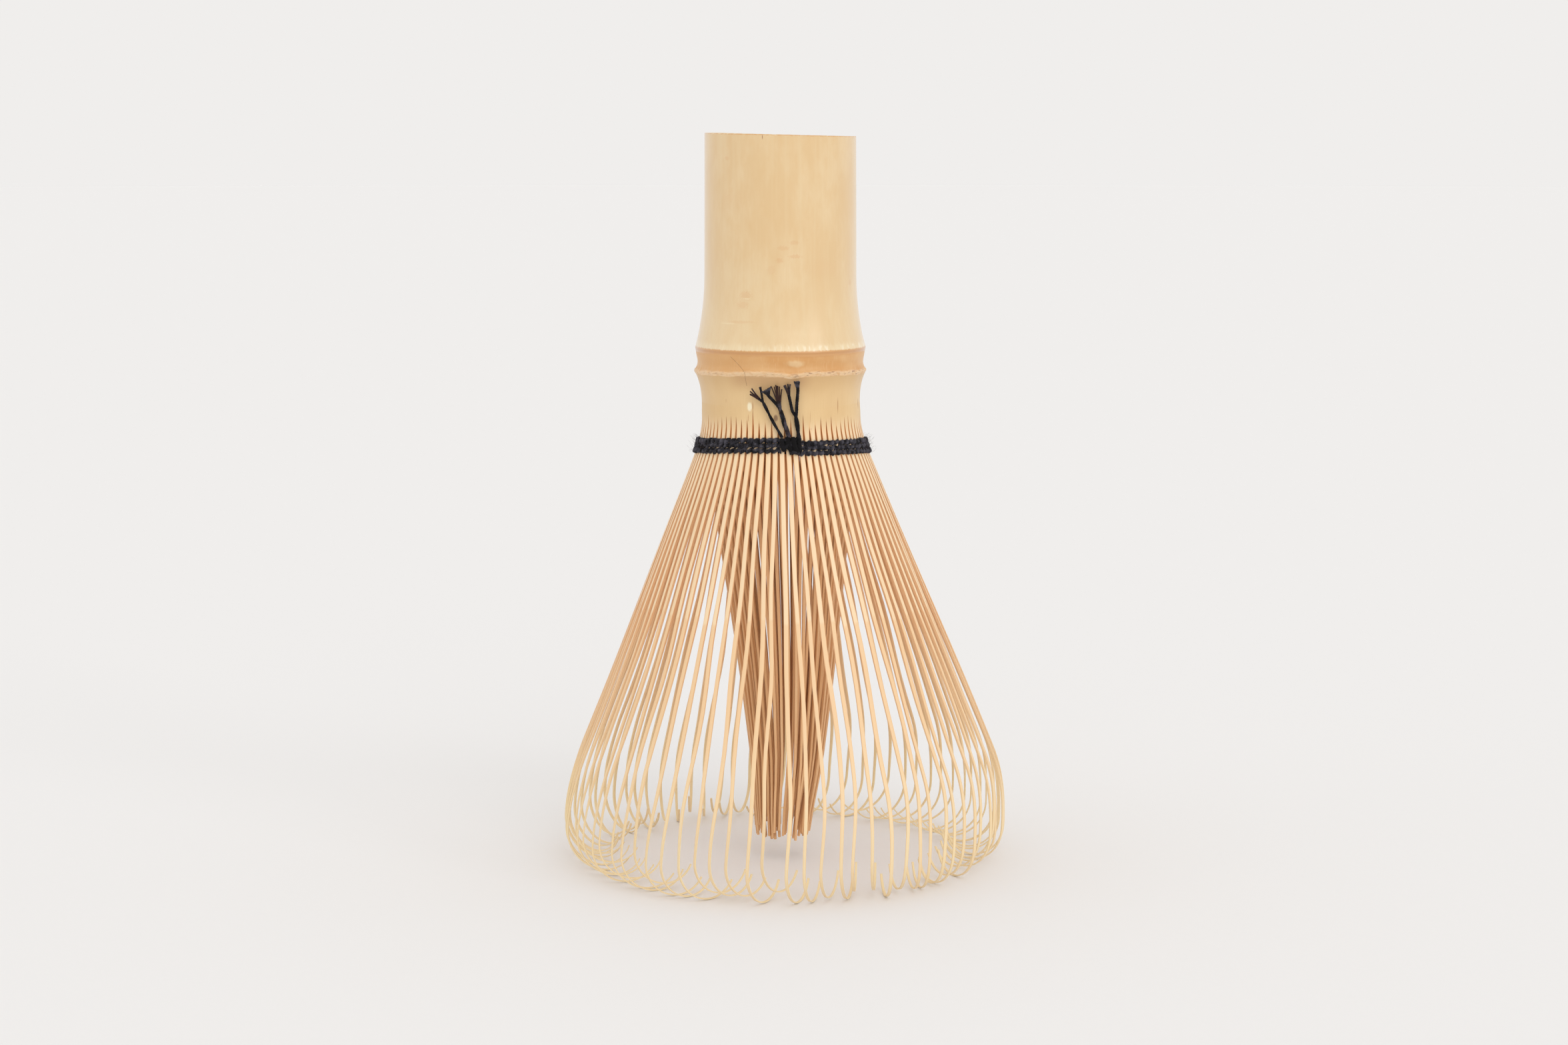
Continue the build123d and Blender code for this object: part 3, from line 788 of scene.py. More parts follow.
def make_culm():
    edge = 0.00006
    profile = [(CULM_END_RADIUS - edge, TOTAL_HEIGHT, 0)]
    for z in steps(TOTAL_HEIGHT - edge, FLARE_START_Z, 24):
        share = (TOTAL_HEIGHT - z) / (TOTAL_HEIGHT - FLARE_START_Z)
        profile.append((CULM_END_RADIUS + share * (CULM_RADIUS - CULM_END_RADIUS), z, 0))
    for z in steps(FLARE_START_Z, UPPER_RIDGE_Z, 26)[1:]:
        radius = arc_radius(z, FLARE_START_Z, CULM_RADIUS, UPPER_RIDGE_Z, UPPER_RIDGE_RADIUS)
        profile.append((radius, z, 0))
    profile.append((UPPER_RIDGE_RADIUS - 0.00002, UPPER_RIDGE_Z - 0.00015, 0))
    profile.append((BAND_TOP_RADIUS + BAND_CROWN, BAND_TOP_Z, 1))
    profile.append((HOLLOW_RADIUS, BAND_TOP_Z, 1))
    for z in steps(BAND_TOP_Z, TOTAL_HEIGHT, 20)[1:-1]:
        profile.append((HOLLOW_RADIUS, z, 1))
    profile.append((HOLLOW_RADIUS, TOTAL_HEIGHT - edge, 1))
    profile.append((HOLLOW_RADIUS + edge, TOTAL_HEIGHT, 1))

    def shape(radius, z, azimuth):
        outside = radius > HOLLOW_RADIUS + 2 * edge
        sheared = (z - FLARE_START_Z) / (TOTAL_HEIGHT - FLARE_START_Z) if z > FLARE_START_Z else 0.0
        slant = CULM_END_RADIUS * (1 + cos(radians(azimuth))) * tan(radians(END_CUT_SLANT))
        moved = z - sheared * slant
        if z > TOTAL_HEIGHT - 2 * edge:
            teeth = 0.00008 * max(0.0, waver(azimuth, 6, 14))
            moved -= teeth + 0.00012 * max(0.0, waver(azimuth, 10, 30) - 0.5)
        near_ridge = ease(z, 0.0805, UPPER_RIDGE_Z)
        moved += ridge_wave(azimuth) * near_ridge
        if outside:
            lift = oval(azimuth) + 0.0035 * noise.noise(on_circle(1.2, azimuth, z * 45))
            rib = 0.00003 * near_ridge * waver(azimuth, 7, 22)
            return radius * (lift if z > 0.081 else 1 + (lift - 1) * 0.6) + rib, azimuth, moved
        return radius * (1 + 0.01 * waver(azimuth, 8, 1.5)), azimuth, moved

    return lathe("handle", profile, [SKIN, FLESH_WOOD], 240, shape, sharp=RIDGE_EDGES)


def make_node_band():
    crown = BAND_TOP_RADIUS + BAND_CROWN
    profile = [(HOLLOW_RADIUS, BAND_TOP_Z, 0), (crown, BAND_TOP_Z, 0)]
    for z in steps(BAND_TOP_Z, GROOVE_Z, 8)[1:]:
        share = ease(z, BAND_TOP_Z, GROOVE_Z)
        profile.append((crown + share * (GROOVE_RADIUS - crown), z, 0))
    for z in steps(GROOVE_Z, SCAR_RIDGE_Z, 8)[1:]:
        share = ((GROOVE_Z - z) / (GROOVE_Z - SCAR_RIDGE_Z)) ** 2.4
        profile.append((GROOVE_RADIUS + share * (SCAR_RIDGE_RADIUS - GROOVE_RADIUS), z, 0))
    profile.append((SCAR_RIDGE_RADIUS, SCAR_RIDGE_Z - 0.0001, 0))
    profile.append((SCAR_RIDGE_RADIUS - 0.00005, SCAR_RIDGE_Z - 0.00022, 0))
    profile.append((BAND_BOTTOM_RADIUS + 0.00004, BAND_BOTTOM_Z + 0.00015, 0))
    profile.append((BAND_BOTTOM_RADIUS, BAND_BOTTOM_Z, 0))
    profile.append((HOLLOW_RADIUS, BAND_BOTTOM_Z, 0))

    def shape(radius, z, azimuth):
        if radius == HOLLOW_RADIUS:
            return radius, azimuth, z
        top = ease(z, GROOVE_Z, BAND_TOP_Z)
        low = ease(z, GROOVE_Z, SCAR_RIDGE_Z)
        across = off_azimuth(azimuth, FRONT_AZIMUTH + 8.8) / 6.2
        up = (z - 0.0767) / 0.00062
        bud = 0.00022 * 2 ** (-(across**2 + up**2) * 1.6)
        flake = low * 0.00006 * waver(azimuth, 9, 26)
        moved = z + top * ridge_wave(azimuth) + low * scar_wave(azimuth)
        return radius * (1 + (oval(azimuth) - 1) * 0.6) + bud + flake, azimuth, moved

    return lathe("node_band_skin", profile, [NODE], 360, shape)


def make_collar():
    inside = WAIST_RADIUS - ROOT_WALL
    profile = []
    for z in steps(BAND_BOTTOM_Z, WAIST_Z, 16):
        radius = arc_radius(z, WAIST_Z, WAIST_RADIUS, BAND_BOTTOM_Z, BAND_BOTTOM_RADIUS)
        profile.append((radius, z, 0))
    profile[-1] = (WAIST_RADIUS, WAIST_Z, 1)
    for z in steps(WAIST_Z, BAND_BOTTOM_Z, 6):
        share = (z - WAIST_Z) / (BAND_BOTTOM_Z - WAIST_Z)
        profile.append((inside + share * (HOLLOW_RADIUS - inside), z, 1))

    def shape(radius, z, azimuth):
        azimuth = azimuth + PITCH / 2
        high = ease(z, WAIST_Z, BAND_BOTTOM_Z)
        if radius <= inside:
            return radius, azimuth, z
        return radius * (1 + (oval(azimuth) - 1) * 0.6 * high), azimuth, z + scar_wave(azimuth) * high

    return lathe("collar_skin", profile, [COLLAR, FLESH_WOOD], COLLAR_SEGMENTS_PER_TINE * TINES, shape)


def make_septum():
    """Dished diaphragm inside the node, seen down the hollow of the handle."""
    made = Builder()
    segments = 96
    across = [radians(360.0 * i / segments) * HOLLOW_RADIUS for i in range(segments + 1)]
    radii = steps(0.0004, HOLLOW_RADIUS, 10)
    rims = [(radius, 1) for radius in radii] + [(radius, -1) for radius in reversed(radii)]
    firsts = []
    for radius, side in rims:
        dish = SEPTUM_DISH * (1 - (radius / HOLLOW_RADIUS) ** 2)
        level = SEPTUM_TOP_Z if side > 0 else SEPTUM_BOTTOM_Z
        ripple = 0.00012 * noise.noise(Vector((radius * 700, side, 2.0)))
        points = [on_circle(radius, 360.0 * i / segments, level - dish + ripple) for i in range(segments)]
        firsts.append(made.ring(points, 0.5))
    for low, high, start, end in zip(firsts, firsts[1:], rims, rims[1:]):
        made.join(high, low, segments, across, end[0], start[0], [0] * segments)
    made.cap(firsts[0], segments, 0, False, 0.0)
    made.cap(firsts[-1], segments, 0, True, 0.0)
    return made.make("node_diaphragm", [FLESH_WOOD])


# ---------------------------------------------------------------- tines


class OuterTine:
    """One outer tine with its own share of unevenness, drawn in the same order as in the CAD model."""

    def __init__(self, index, dice):
        self.index = index
        self.azimuth = index * PITCH
        self.drift = dice.uniform(-AZIMUTH_SPREAD, AZIMUTH_SPREAD) + self.parting()
        self.lean = CAGE_LEAN + dice.uniform(-LEAN_SPREAD, LEAN_SPREAD)
        self.low = TIP_RISE * dice.random() ** 2
        self.curl = CURL_RADIUS + dice.uniform(-RADIUS_SPREAD, RADIUS_SPREAD)
        self.tip = TIP_RADIUS + dice.uniform(-RADIUS_SPREAD, RADIUS_SPREAD)
        self.turn = TIP_TURN + dice.uniform(-TURN_SPREAD, TURN_SPREAD)
        self.skew = CURL_SKEW + dice.uniform(-SKEW_SPREAD, SKEW_SPREAD)

    def parting(self):
        """Sideways push, in degrees, that opens a wider gap in the cage at the front."""
        off = (self.azimuth + PITCH / 2 - FRONT_AZIMUTH + 180) % 360 - 180
        push = PARTING * 2 ** (-((off / PARTING_WIDTH) ** 2))
        return push if off > 0 else -push

    def path(self):
        """Stations of the skin line: (reach, radius, z, lean) down to the curl, then the curl's own turns."""
        found = []
        lean = radians(self.lean)
        for bend in steps(0.0, lean, WAIST_STEPS):
            radius = WAIST_RADIUS + WAIST_ARC_RADIUS * (1 - cos(bend))
            z = WAIST_Z - WAIST_ARC_RADIUS * sin(bend)
            found.append((WAIST_ARC_RADIUS * bend, radius, z, bend))
        reach, radius, z, _ = found[-1]
        curl_z = self.low + self.curl
        run = (z - curl_z - BELLY_ARC_RADIUS * sin(lean)) / cos(lean)
        for along in steps(0.0, run, RUN_STEPS)[1:]:
            found.append((reach + along, radius + along * sin(lean), z - along * cos(lean), lean))
        reach, radius, z, _ = found[-1]
        cage = radius + BELLY_ARC_RADIUS * (1 - cos(lean))
        for bend in steps(lean, 0.0, BELLY_STEPS)[1:]:
            here = cage - BELLY_ARC_RADIUS * (1 - cos(bend))
            level = curl_z + BELLY_ARC_RADIUS * sin(bend)
            found.append((reach + BELLY_ARC_RADIUS * (lean - bend), here, level, bend))
        return found, cage, curl_z


def split_tops():
    """Height of the split's head on the +azimuth side of each tine. Every ninth has run further up."""
    dice = random.Random(SPLIT_SEED)
    tops = [SPLIT_LOW_Z + SPLIT_SPREAD * dice.random() for _ in range(TINES)]
    for index in range(0, TINES, SPLIT_RUN_EVERY):
        tops[index] = min(tops[index] + SPLIT_RUN, WAIST_Z - 0.0003)
    tops[LONG_SPLIT] = WAIST_Z - 0.00004
    return tops


SPLIT_TOPS = split_tops()
OUTER_SLOTS = [0, 0, 0, 1, 1, 1, 1, 1, 1, 1]
INNER_SLOTS = [0] * 8


def front_half(index, side, radius, z, width):
    """Half the width of a tine's skin: it meets its neighbour down to the split, then draws in."""
    whole = radius * radians(PITCH / 2)
    top = SPLIT_TOPS[index % TINES if side > 0 else (index - 1) % TINES]
    if z >= top:
        return whole - HAIRLINE
    foot = width / 2
    if z <= SPLIT_FOOT_Z:
        return foot
    opened = (top - z) / (top - SPLIT_FOOT_Z)
    return whole - HAIRLINE - (whole - foot) * opened**0.8


def outer_section(index, point, side, inward, radius, z, reach, slim):
    """Ten points round a tine, front first, from its skin point and its sideways and inward directions."""
    width = between(reach, OUTER_REACH, OUTER_WIDTH) * (1 - (1 - slim) * ease(reach, 0.008, 0.020))
    depth = between(reach, OUTER_REACH, OUTER_DEPTH)
    loose = ease(z, 0.0662, 0.0640)
    low = front_half(index, -1, radius, z, width)
    high = front_half(index, 1, radius, z, width)
    crown = 0.5 * ((1 - loose) / radius + loose / TINE_ROUNDING)
    shoulder = depth * (0.30 - 0.18 * loose)
    back = width * (0.5 - 0.03 * loose) * (1 - depth / radius * (1 - loose))
    neck = min(back * 1.02, low, high)
    edge = min(0.00009, depth * 0.25)

    def at(across, deep):
        return point + side * across + inward * deep

    front = [at(x, crown * x * x) for x in (-low, -low / 3, high / 3, high)]
    rear = [at(neck, shoulder), at(back, depth - edge), at(back - edge, depth)]
    rear += [at(edge - back, depth), at(-back, depth - edge), at(-neck, shoulder)]
    return front + rear


def add_outer_tine(made, tine, looks):
    """Adds one tine: radial down to its belly, then twisting gently into the skewed plane of its curl."""
    stations, cage, curl_z = tine.path()
    tone = looks.random()
    slim = looks.uniform(0.82, 1.0)
    amount = looks.uniform(0.00008, 0.00028)
    waves = looks.uniform(0.024, 0.045)
    phase = looks.uniform(0, 2 * pi)
    shift = looks.choice((0.5, 0.5, 1.0, 1.0, 2.0)) * looks.uniform(-0.0003, 0.0003)
    across = [CORNER_STEP * i + TINE_STEP * tine.index for i in range(len(OUTER_SLOTS) + 1)]

    def wobble(reach):
        grown = ease(reach, 0.008, 0.045)
        settled = 1 - 0.6 * ease(reach, 0.060, 0.072)
        return grown * settled * (amount * sin(2 * pi * reach / waves + phase) + shift)

    rings = []
    twist_from = stations[-BELLY_STEPS][0]
    curl_from = stations[-1][0]
    for reach, radius, z, bend in stations:
        grown = between(reach, (OUTER_REACH[2], OUTER_REACH[5]), (0.0, 1.0))
        azimuth = tine.azimuth + tine.drift * grown
        facing = azimuth - tine.skew * ease(reach, twist_from, curl_from)
        out = on_circle(1, facing)
        side = on_circle(1, facing + 90)
        inward = -out * cos(bend) - UP * sin(bend)
        point = on_circle(radius, azimuth, z) + side * wobble(reach)
        rings.append((reach, outer_section(tine.index, point, side, inward, radius, z, reach, slim)))

    heading = on_circle(1, tine.azimuth + tine.drift + 180 - tine.skew)
    side = on_circle(1, tine.azimuth + tine.drift + 90 - tine.skew)
    centre = on_circle(cage, tine.azimuth + tine.drift, curl_z) + heading * tine.curl
    turns = steps(0, 90, CURL_STEPS)[1:] + steps(90, 90 + tine.turn, TIP_STEPS)[1:]
    for turn in turns:
        radius = tine.curl if turn <= 90 else tine.tip
        middle = centre if turn <= 90 else centre - UP * (tine.curl - tine.tip)
        spoke = heading * cos(radians(turn)) + UP * sin(radians(turn))
        reach = curl_from + tine.curl * radians(min(turn, 90)) + tine.tip * radians(max(turn - 90, 0))
        point = middle - spoke * radius + side * wobble(reach)
        rings.append((reach, outer_section(tine.index, point, side, spoke, cage, 0.0, reach, slim)))

    count = len(OUTER_SLOTS)
    firsts = [made.ring(points, tone) for _, points in rings]
    for (start, _), (end, _), low, high in zip(rings, rings[1:], firsts, firsts[1:]):
        made.join(low, high, count, across, start, end, OUTER_SLOTS)
    made.cap(firsts[0], count, 1, False, 0.0)
    made.cap(firsts[-1], count, 1, True, rings[-1][0])


def add_inner_tine(made, index, length_share, looks):
    """Adds one inner tine: straight down inside the thread, then closing into the bundle."""
    azimuth = (index + 0.5) * PITCH
    lean = radians(INNER_LEAN[index % 2])
    end_z = INNER_END_Z + INNER_END_SPREAD * length_share
    tone = looks.random()
    sway = looks.uniform(-0.0006, 0.0006)
    bow = looks.uniform(-0.0004, 0.0004)
    stray = looks.uniform(-0.018, 0.018)
    stave_off = (index % TINES_PER_STAVE) - (TINES_PER_STAVE - 1) / 2
    gather = -0.00006 * stave_off
    out = on_circle(1, azimuth)
    side = on_circle(1, azimuth + 90)
    bend_z = INNER_BEND_Z + MM
    root_radius = WAIST_RADIUS - INNER_SHOW_DEPTH
    stations = []
    for z in steps(WAIST_Z, bend_z, 4):
        share = (WAIST_Z - z) / (WAIST_Z - bend_z)
        stations.append((root_radius + share * (INNER_RADIUS - root_radius), z, 0.0))
    for bend in steps(0.0, lean, 4):
        radius = INNER_RADIUS - INNER_BEND_RADIUS * (1 - cos(bend))
        stations.append((radius, INNER_BEND_Z - INNER_BEND_RADIUS * sin(bend), bend))
    radius, z, _ = stations[-1]
    for low_z in steps(z, end_z, RUN_STEPS)[1:]:
        stations.append((radius - (z - low_z) * tan(lean), low_z, lean))

    firsts = []
    across = [0.00012 * i + 0.0031 * index for i in range(9)]
    for radius, z, bend in stations:
        inward = -out * cos(bend) + UP * sin(bend)
        down = (WAIST_Z - z) / (WAIST_Z - end_z)
        width = between(down, INNER_FILL_AT, INNER_FILL)
        depth = between(down, (0.0, 0.09, 1.0), INNER_DEPTH) * (0.75 if down < 0.09 else 1.0)
        moved = sway * down**1.6 + bow * sin(pi * down) * ease(down, 0.1, 0.35)
        moved += gather * down * radius / MM / 11
        moved += stray * radius * ease(down, 0.15, 0.4)
        middle = on_circle(radius, azimuth, z) + side * moved
        half = width / 2
        edge = 0.00004
        outline = (
            (edge - half, 0.0),
            (half - edge, 0.0),
            (half, edge),
            (half, depth - edge),
            (half - edge, depth),
            (edge - half, depth),
            (-half, depth - edge),
            (-half, edge),
        )
        firsts.append(made.ring([middle + side * x + inward * deep for x, deep in outline], tone))
    for low, high, start, end in zip(firsts, firsts[1:], stations, stations[1:]):
        made.join(low, high, 8, across, WAIST_Z - start[1], WAIST_Z - end[1], INNER_SLOTS)
    made.cap(firsts[0], 8, 0, False, 0.0)
    made.cap(firsts[-1], 8, 0, True, WAIST_Z - end_z)


def place_tines():
    dice = random.Random(SEED)
    looks = random.Random(LOOKS_SEED)
    outer = [OuterTine(index, dice) for index in range(TINES)]
    ends = [dice.random() for _ in range(TINES)]
    for stave in range(STAVES):
        members = range(stave * TINES_PER_STAVE, (stave + 1) * TINES_PER_STAVE)
        fronts, backs = Builder(), Builder()
        for index in members:
            add_outer_tine(fronts, outer[index], looks)
            add_inner_tine(backs, index, ends[index], looks)
        number = f"{stave + 1:02d}"
        piece = fronts.make(f"stave_{number}_outer", [TINE_FRONT, TINE_BACK], TINE_EDGES)
        place(piece, "bamboo_outer_tine", f"outer_tines_{number}")
        piece = backs.make(f"stave_{number}_inner", [INNER], TINE_EDGES)
        place(piece, "bamboo_inner_tine", f"inner_tines_{number}")


# ---------------------------------------------------------------- thread


def add_rope(made, stations, plies=3, lay=0.0011, sides=14, tone=0.5, groove=0.2, full=1.0):
    """Adds twisted thread through stations of (centre, right, up, half size along right, half size along up).

    full below 1 squares its section off, as where rows are pressed together.
    """
    firsts = []
    runs = [0.0]
    for (start, *_), (end, *_) in zip(stations, stations[1:]):
        runs.append(runs[-1] + (end - start).length)
    for run, (centre, right, up, wide, tall) in zip(runs, stations):
        points = []
        for i in range(sides):
            angle = 2 * pi * i / sides
            ply = abs(cos(plies * (angle - 2 * pi * run / lay) / 2))
            swell = 1 - groove + groove * ply
            x = copysign(abs(cos(angle)) ** full, cos(angle))
            y = copysign(abs(sin(angle)) ** full, sin(angle))
            points.append(centre + right * (wide * swell * x) + up * (tall * swell * y))
        firsts.append(made.ring(points, tone))
    across = [i / sides for i in range(sides + 1)]
    for low, high, start, end in zip(firsts, firsts[1:], runs, runs[1:]):
        made.join(low, high, sides, across, start, end, [0] * sides)
    made.cap(firsts[0], sides, 0, False, 0.0)
    made.cap(firsts[-1], sides, 0, True, runs[-1])


def smooth_path(points, count):
    """count + 1 points along a Catmull-Rom curve through a few given ones."""
    ends = [points[0] * 2 - points[1]] + list(points) + [points[-1] * 2 - points[-2]]
    spans = len(points) - 1
    found = []
    for i in range(count + 1):
        place_on = spans * i / count
        span = min(int(place_on), spans - 1)
        t = place_on - span
        a, b, c, d = ends[span : span + 4]
        curved = (a * 2 - b * 5 + c * 4 - d) * t**2 + (b * 3 - a - c * 3 + d) * t**3
        found.append(0.5 * (b * 2 + (c - a) * t + curved))
    return found


def framed(points, sizes, front):
    """Turns points and half sizes into rope stations whose up direction keeps facing front."""
    found = []
    for i, (point, size) in enumerate(zip(points, sizes)):
        ahead = points[min(i + 1, len(points) - 1)] - points[max(i - 1, 0)]
        right = ahead.cross(front).normalized()
        up = right.cross(ahead).normalized()
        found.append((point, right, up, size, size))
    return found


def band_rise(azimuth):
    """How much higher the band lies at an azimuth than at the sides. It steps down past the knot."""
    off = off_azimuth(azimuth, KNOT_AZIMUTH)
    step = (1 - ease(abs(off), 6, 75)) * min(max(off / 6, -1.0), 1.0)
    return THREAD_RISE * cos(radians(off_azimuth(azimuth, FRONT_AZIMUTH))) - THREAD_STEP * step


def show_throughs():
    """For each tine, how far the rows part over it: lower from middle, then middle from upper."""
    dice = random.Random(ROW_SEED)
    found = []
    for index in range(TINES):
        off = off_azimuth(index * PITCH, KNOT_AZIMUTH)
        low = dice.choice((0.5, 0.8, 1.0, 1.0, 1.1)) * (1.0 if off < 0 or off > 60 else 0.7)
        high = dice.choice((0.0, 0.2, 0.6, 1.0)) * (0.15 if -110 < off < 0 else 1.0)
        found.append((low * ROW_PART, high * ROW_PART))
    return found


SHOW_THROUGHS = show_throughs()


def make_row(name, base_z, dice):
    """One row of thread: it rides over each outer tine and dips into the gap behind it."""
    made = Builder()
    open_half = KNOT_SPAN / 2 - 1.2
    start = KNOT_AZIMUTH + open_half
    total = int((360 - 2 * open_half) / PITCH * ROW_RINGS_PER_PITCH)
    lifts = [dice.uniform(-0.00004, 0.00004) for _ in range(TINES + 1)]
    swells = [dice.uniform(0.97, 1.05) for _ in range(TINES + 1)]
    slants = [dice.uniform(0.00003, 0.00013) for _ in range(TINES + 1)]
    stations = []
    for i in range(total + 1):
        azimuth = start + i * PITCH / ROW_RINGS_PER_PITCH
        position = (azimuth / PITCH) % TINES
        nearest = int(position + 0.5)
        u = position - nearest
        over = min(1.0, 1.7 * (0.5 + 0.5 * cos(2 * pi * u)))
        low, high = SHOW_THROUGHS[nearest % TINES]
        under = {"upper": high, "middle": low, "lower": 0.0}[name]
        above = {"upper": 0.0, "middle": high, "lower": low}[name]
        open_here = exp(-((u / 0.25) ** 4))
        z = base_z + band_rise(azimuth) + slants[nearest] * sin(2 * pi * u) + lifts[nearest]
        z += (under - above) * open_here / 4
        out = on_circle(1, azimuth)
        skin = skin_radius(z)
        radius = skin + THREAD_DIP + (THREAD_LIFT - THREAD_DIP) * over
        slope = asin((WAIST_Z - z) / WAIST_ARC_RADIUS)
        normal = out * cos(slope) + UP * sin(slope)
        along = UP * cos(slope) - out * sin(slope)
        tall = THREAD_TALL * swells[nearest] * (0.9 + 0.1 * over) - (under + above) * open_here / 4
        stations.append((out * radius + UP * z, normal, along, THREAD_DEEP * swells[nearest], tall))
    add_rope(made, stations, sides=20, tone=0.3, groove=0.06, full=0.6)
    return made.make(f"thread_row_{name}", [THREAD], NO_EDGES)


def make_weft():
    """Thread packed behind the outer tines, seen as the dark of the gaps."""
    made = Builder()
    for level in (-0.0006, 0.0, 0.0006):
        stations = []
        for azimuth in steps(0.0, 360.0, 480):
            out = on_circle(1, azimuth)
            z = WEFT_Z + level + band_rise(azimuth)
            radius = WEFT_RADIUS + 0.00012 * cos(radians(azimuth) * TINES)
            stations.append((out * radius + UP * z, out, UP, 0.0002, 0.0004))
        add_rope(made, stations, sides=10)
    return made.make("thread_weft", [THREAD], NO_EDGES)


def make_knot(dice):
    """Flat lump of strands laid across each other over the ends of the rows."""
    made = Builder()
    for course, proud, size in KNOT_STRANDS:
        points = []
        for i, (x, z) in enumerate(course):
            reach = skin_radius(z) + THREAD_LIFT + (proud if 0 < i < len(course) - 1 else proud / 3)
            points.append(Vector((x, -((reach**2 - x**2) ** 0.5), z)))
        path = smooth_path(points, KNOT_STEPS)
        sizes = [size * (0.8 + 0.2 * sin(pi * i / KNOT_STEPS)) for i in range(KNOT_STEPS + 1)]
        tone = dice.random() * 0.15
        add_rope(made, framed(path, sizes, FRONT), lay=0.0016, tone=tone, groove=0.16)
    return made.make("thread_knot", [THREAD], NO_EDGES)


def add_filament(made, points, thick, tone):
    """Adds one loose strand that thins a little to its end."""
    path = smooth_path(points, 10)
    sizes = [thick * (1.0 - 0.2 * i / 10) for i in range(11)]
    add_rope(made, framed(path, sizes, FRONT), plies=2, lay=0.0009, sides=8, tone=tone, groove=0.15)


def make_tail(number, tail, dice):
    """One thread end: laid with its fellows up to the fork, then free, and frayed at its end."""
    course, turn, lay_out, thick, (strands, spread, skew, brush, hair, tone) = tail
    made = Builder()
    points = []
    for i, (x, z) in enumerate(course):
        reach = max(skin_radius(min(z, WAIST_Z)), collar_radius(z)) + TAIL_CLEAR + 0.00006 * i
        points.append(Vector((x, -((reach**2 - x**2) ** 0.5), z)))
    path = smooth_path(points, TAIL_STEPS)
    forked = TAIL_STEPS * FORK_POINT / (len(course) - 1)
    for i, point in enumerate(path):
        angle = turn + 2 * pi * (point.z - path[0].z) / TAIL_LAY
        fade = 1 - ease(i, forked - 12, forked + 6)
        path[i] = point + Vector((cos(angle), sin(angle) * 0.9, 0)) * (lay_out * fade)
    sizes = [thick * (1 + 0.05 * noise.noise(Vector((i * 0.2, number, 0)))) for i in range(len(path))]
    body_tone = 0.07 if tone < 0.8 else 0.6
    add_rope(made, framed(path, sizes, FRONT), lay=0.0012, sides=12, tone=body_tone, groove=0.15)

    before = path[-4]
    ahead = (path[-1] - before).normalized()
    across = ahead.cross(FRONT).normalized()
    inside = thick - hair * 0.7
    for i in range(strands):
        share = (i + 0.5) / strands * 2 - 1 + dice.uniform(-0.5, 0.5) / strands
        root = before + across * (inside * share) + FRONT * (dice.uniform(-0.7, 0.7) * inside)
        length = (brush + (path[-1] - before).length) * (1 + skew * share) * dice.uniform(0.9, 1.06)
        bend = across * (spread * share)
        lift = FRONT * dice.uniform(-0.00012, 0.00024)
        middle = root + ahead * (length * 0.5) + bend * 0.40 + lift * 0.5
        curve = [root, middle, root + ahead * length + bend + lift]
        add_filament(made, curve, hair * dice.uniform(0.85, 1.15), tone * dice.uniform(0.85, 1.1))
    return made.make(f"thread_end_{number}", [THREAD], NO_EDGES)


def make_fuzz(dice):
    """Cotton lint round the band, longest at the sides, and one long stray fibre."""
    made = Builder()
    for _ in range(LINT_COUNT):
        azimuth = dice.uniform(0, 360)
        side = abs(cos(radians(azimuth))) ** 3
        z = ROW_HEIGHTS["middle"] + band_rise(azimuth) + dice.uniform(-0.0011, 0.0012)
        length = dice.uniform(0.0002, 0.0006 + 0.0009 * side)
        root = on_circle(skin_radius(z) + 0.0003, azimuth, z)
        out = on_circle(1, azimuth + dice.uniform(-40, 40))
        drift = (out + UP * dice.uniform(-0.3, 1.8)).normalized() * length
        curl = (on_circle(1, azimuth + 90) + UP) * dice.uniform(-0.35, 0.35) * length
        path = smooth_path([root, root + drift * 0.5 + curl, root + drift], 6)
        stations = framed(path, [LINT_THICK] * len(path), on_circle(1, azimuth + 70))
        add_rope(made, stations, sides=4, tone=1.0, groove=0.0)
    stray = [Vector(point) * MM for point in STRAY_FIBRE]
    path = smooth_path(stray, 30)
    add_rope(made, framed(path, [STRAY_THICK] * len(path), FRONT), sides=4, tone=1.0, groove=0.0)
    return made.make("thread_lint", [THREAD], NO_EDGES)


# Strands of the knot: course as (x, z), how proud, half thickness
KNOT_STRANDS = (
    (((0.00002, 0.06555), (0.00009, 0.06462), (0.00040, 0.06369)), 0.00010, 0.00040),
    (((0.00085, 0.06575), (0.00102, 0.06462), (0.00148, 0.06359)), 0.00022, 0.00046),
    (((0.00164, 0.06570), (0.00180, 0.06452), (0.00226, 0.06344)), 0.00026, 0.00048),
    (((0.00257, 0.06565), (0.00253, 0.06452), (0.00265, 0.06359)), 0.00012, 0.00042),
    (((0.00016, 0.06393), (0.00112, 0.06472), (0.00232, 0.06560)), 0.00036, 0.00030),
    (((0.00046, 0.06550), (0.00131, 0.06472), (0.00237, 0.06393)), 0.00030, 0.00032),
    (((0.00108, 0.06344), (0.00182, 0.06359), (0.00255, 0.06344)), 0.00020, 0.00034),
)

# Starts of the courses, as (x, z), that two or three thread ends share
STEM_LEFT = ((0.00007, 0.06570), (-0.00113, 0.06795), (-0.00205, 0.06981), (-0.00251, 0.07079))
STEM_MIDDLE = ((0.00115, 0.06575), (0.00042, 0.06795), (0.00016, 0.06903))
STEM_RIGHT = ((0.00256, 0.06550), (0.00236, 0.06736), (0.00215, 0.06878))

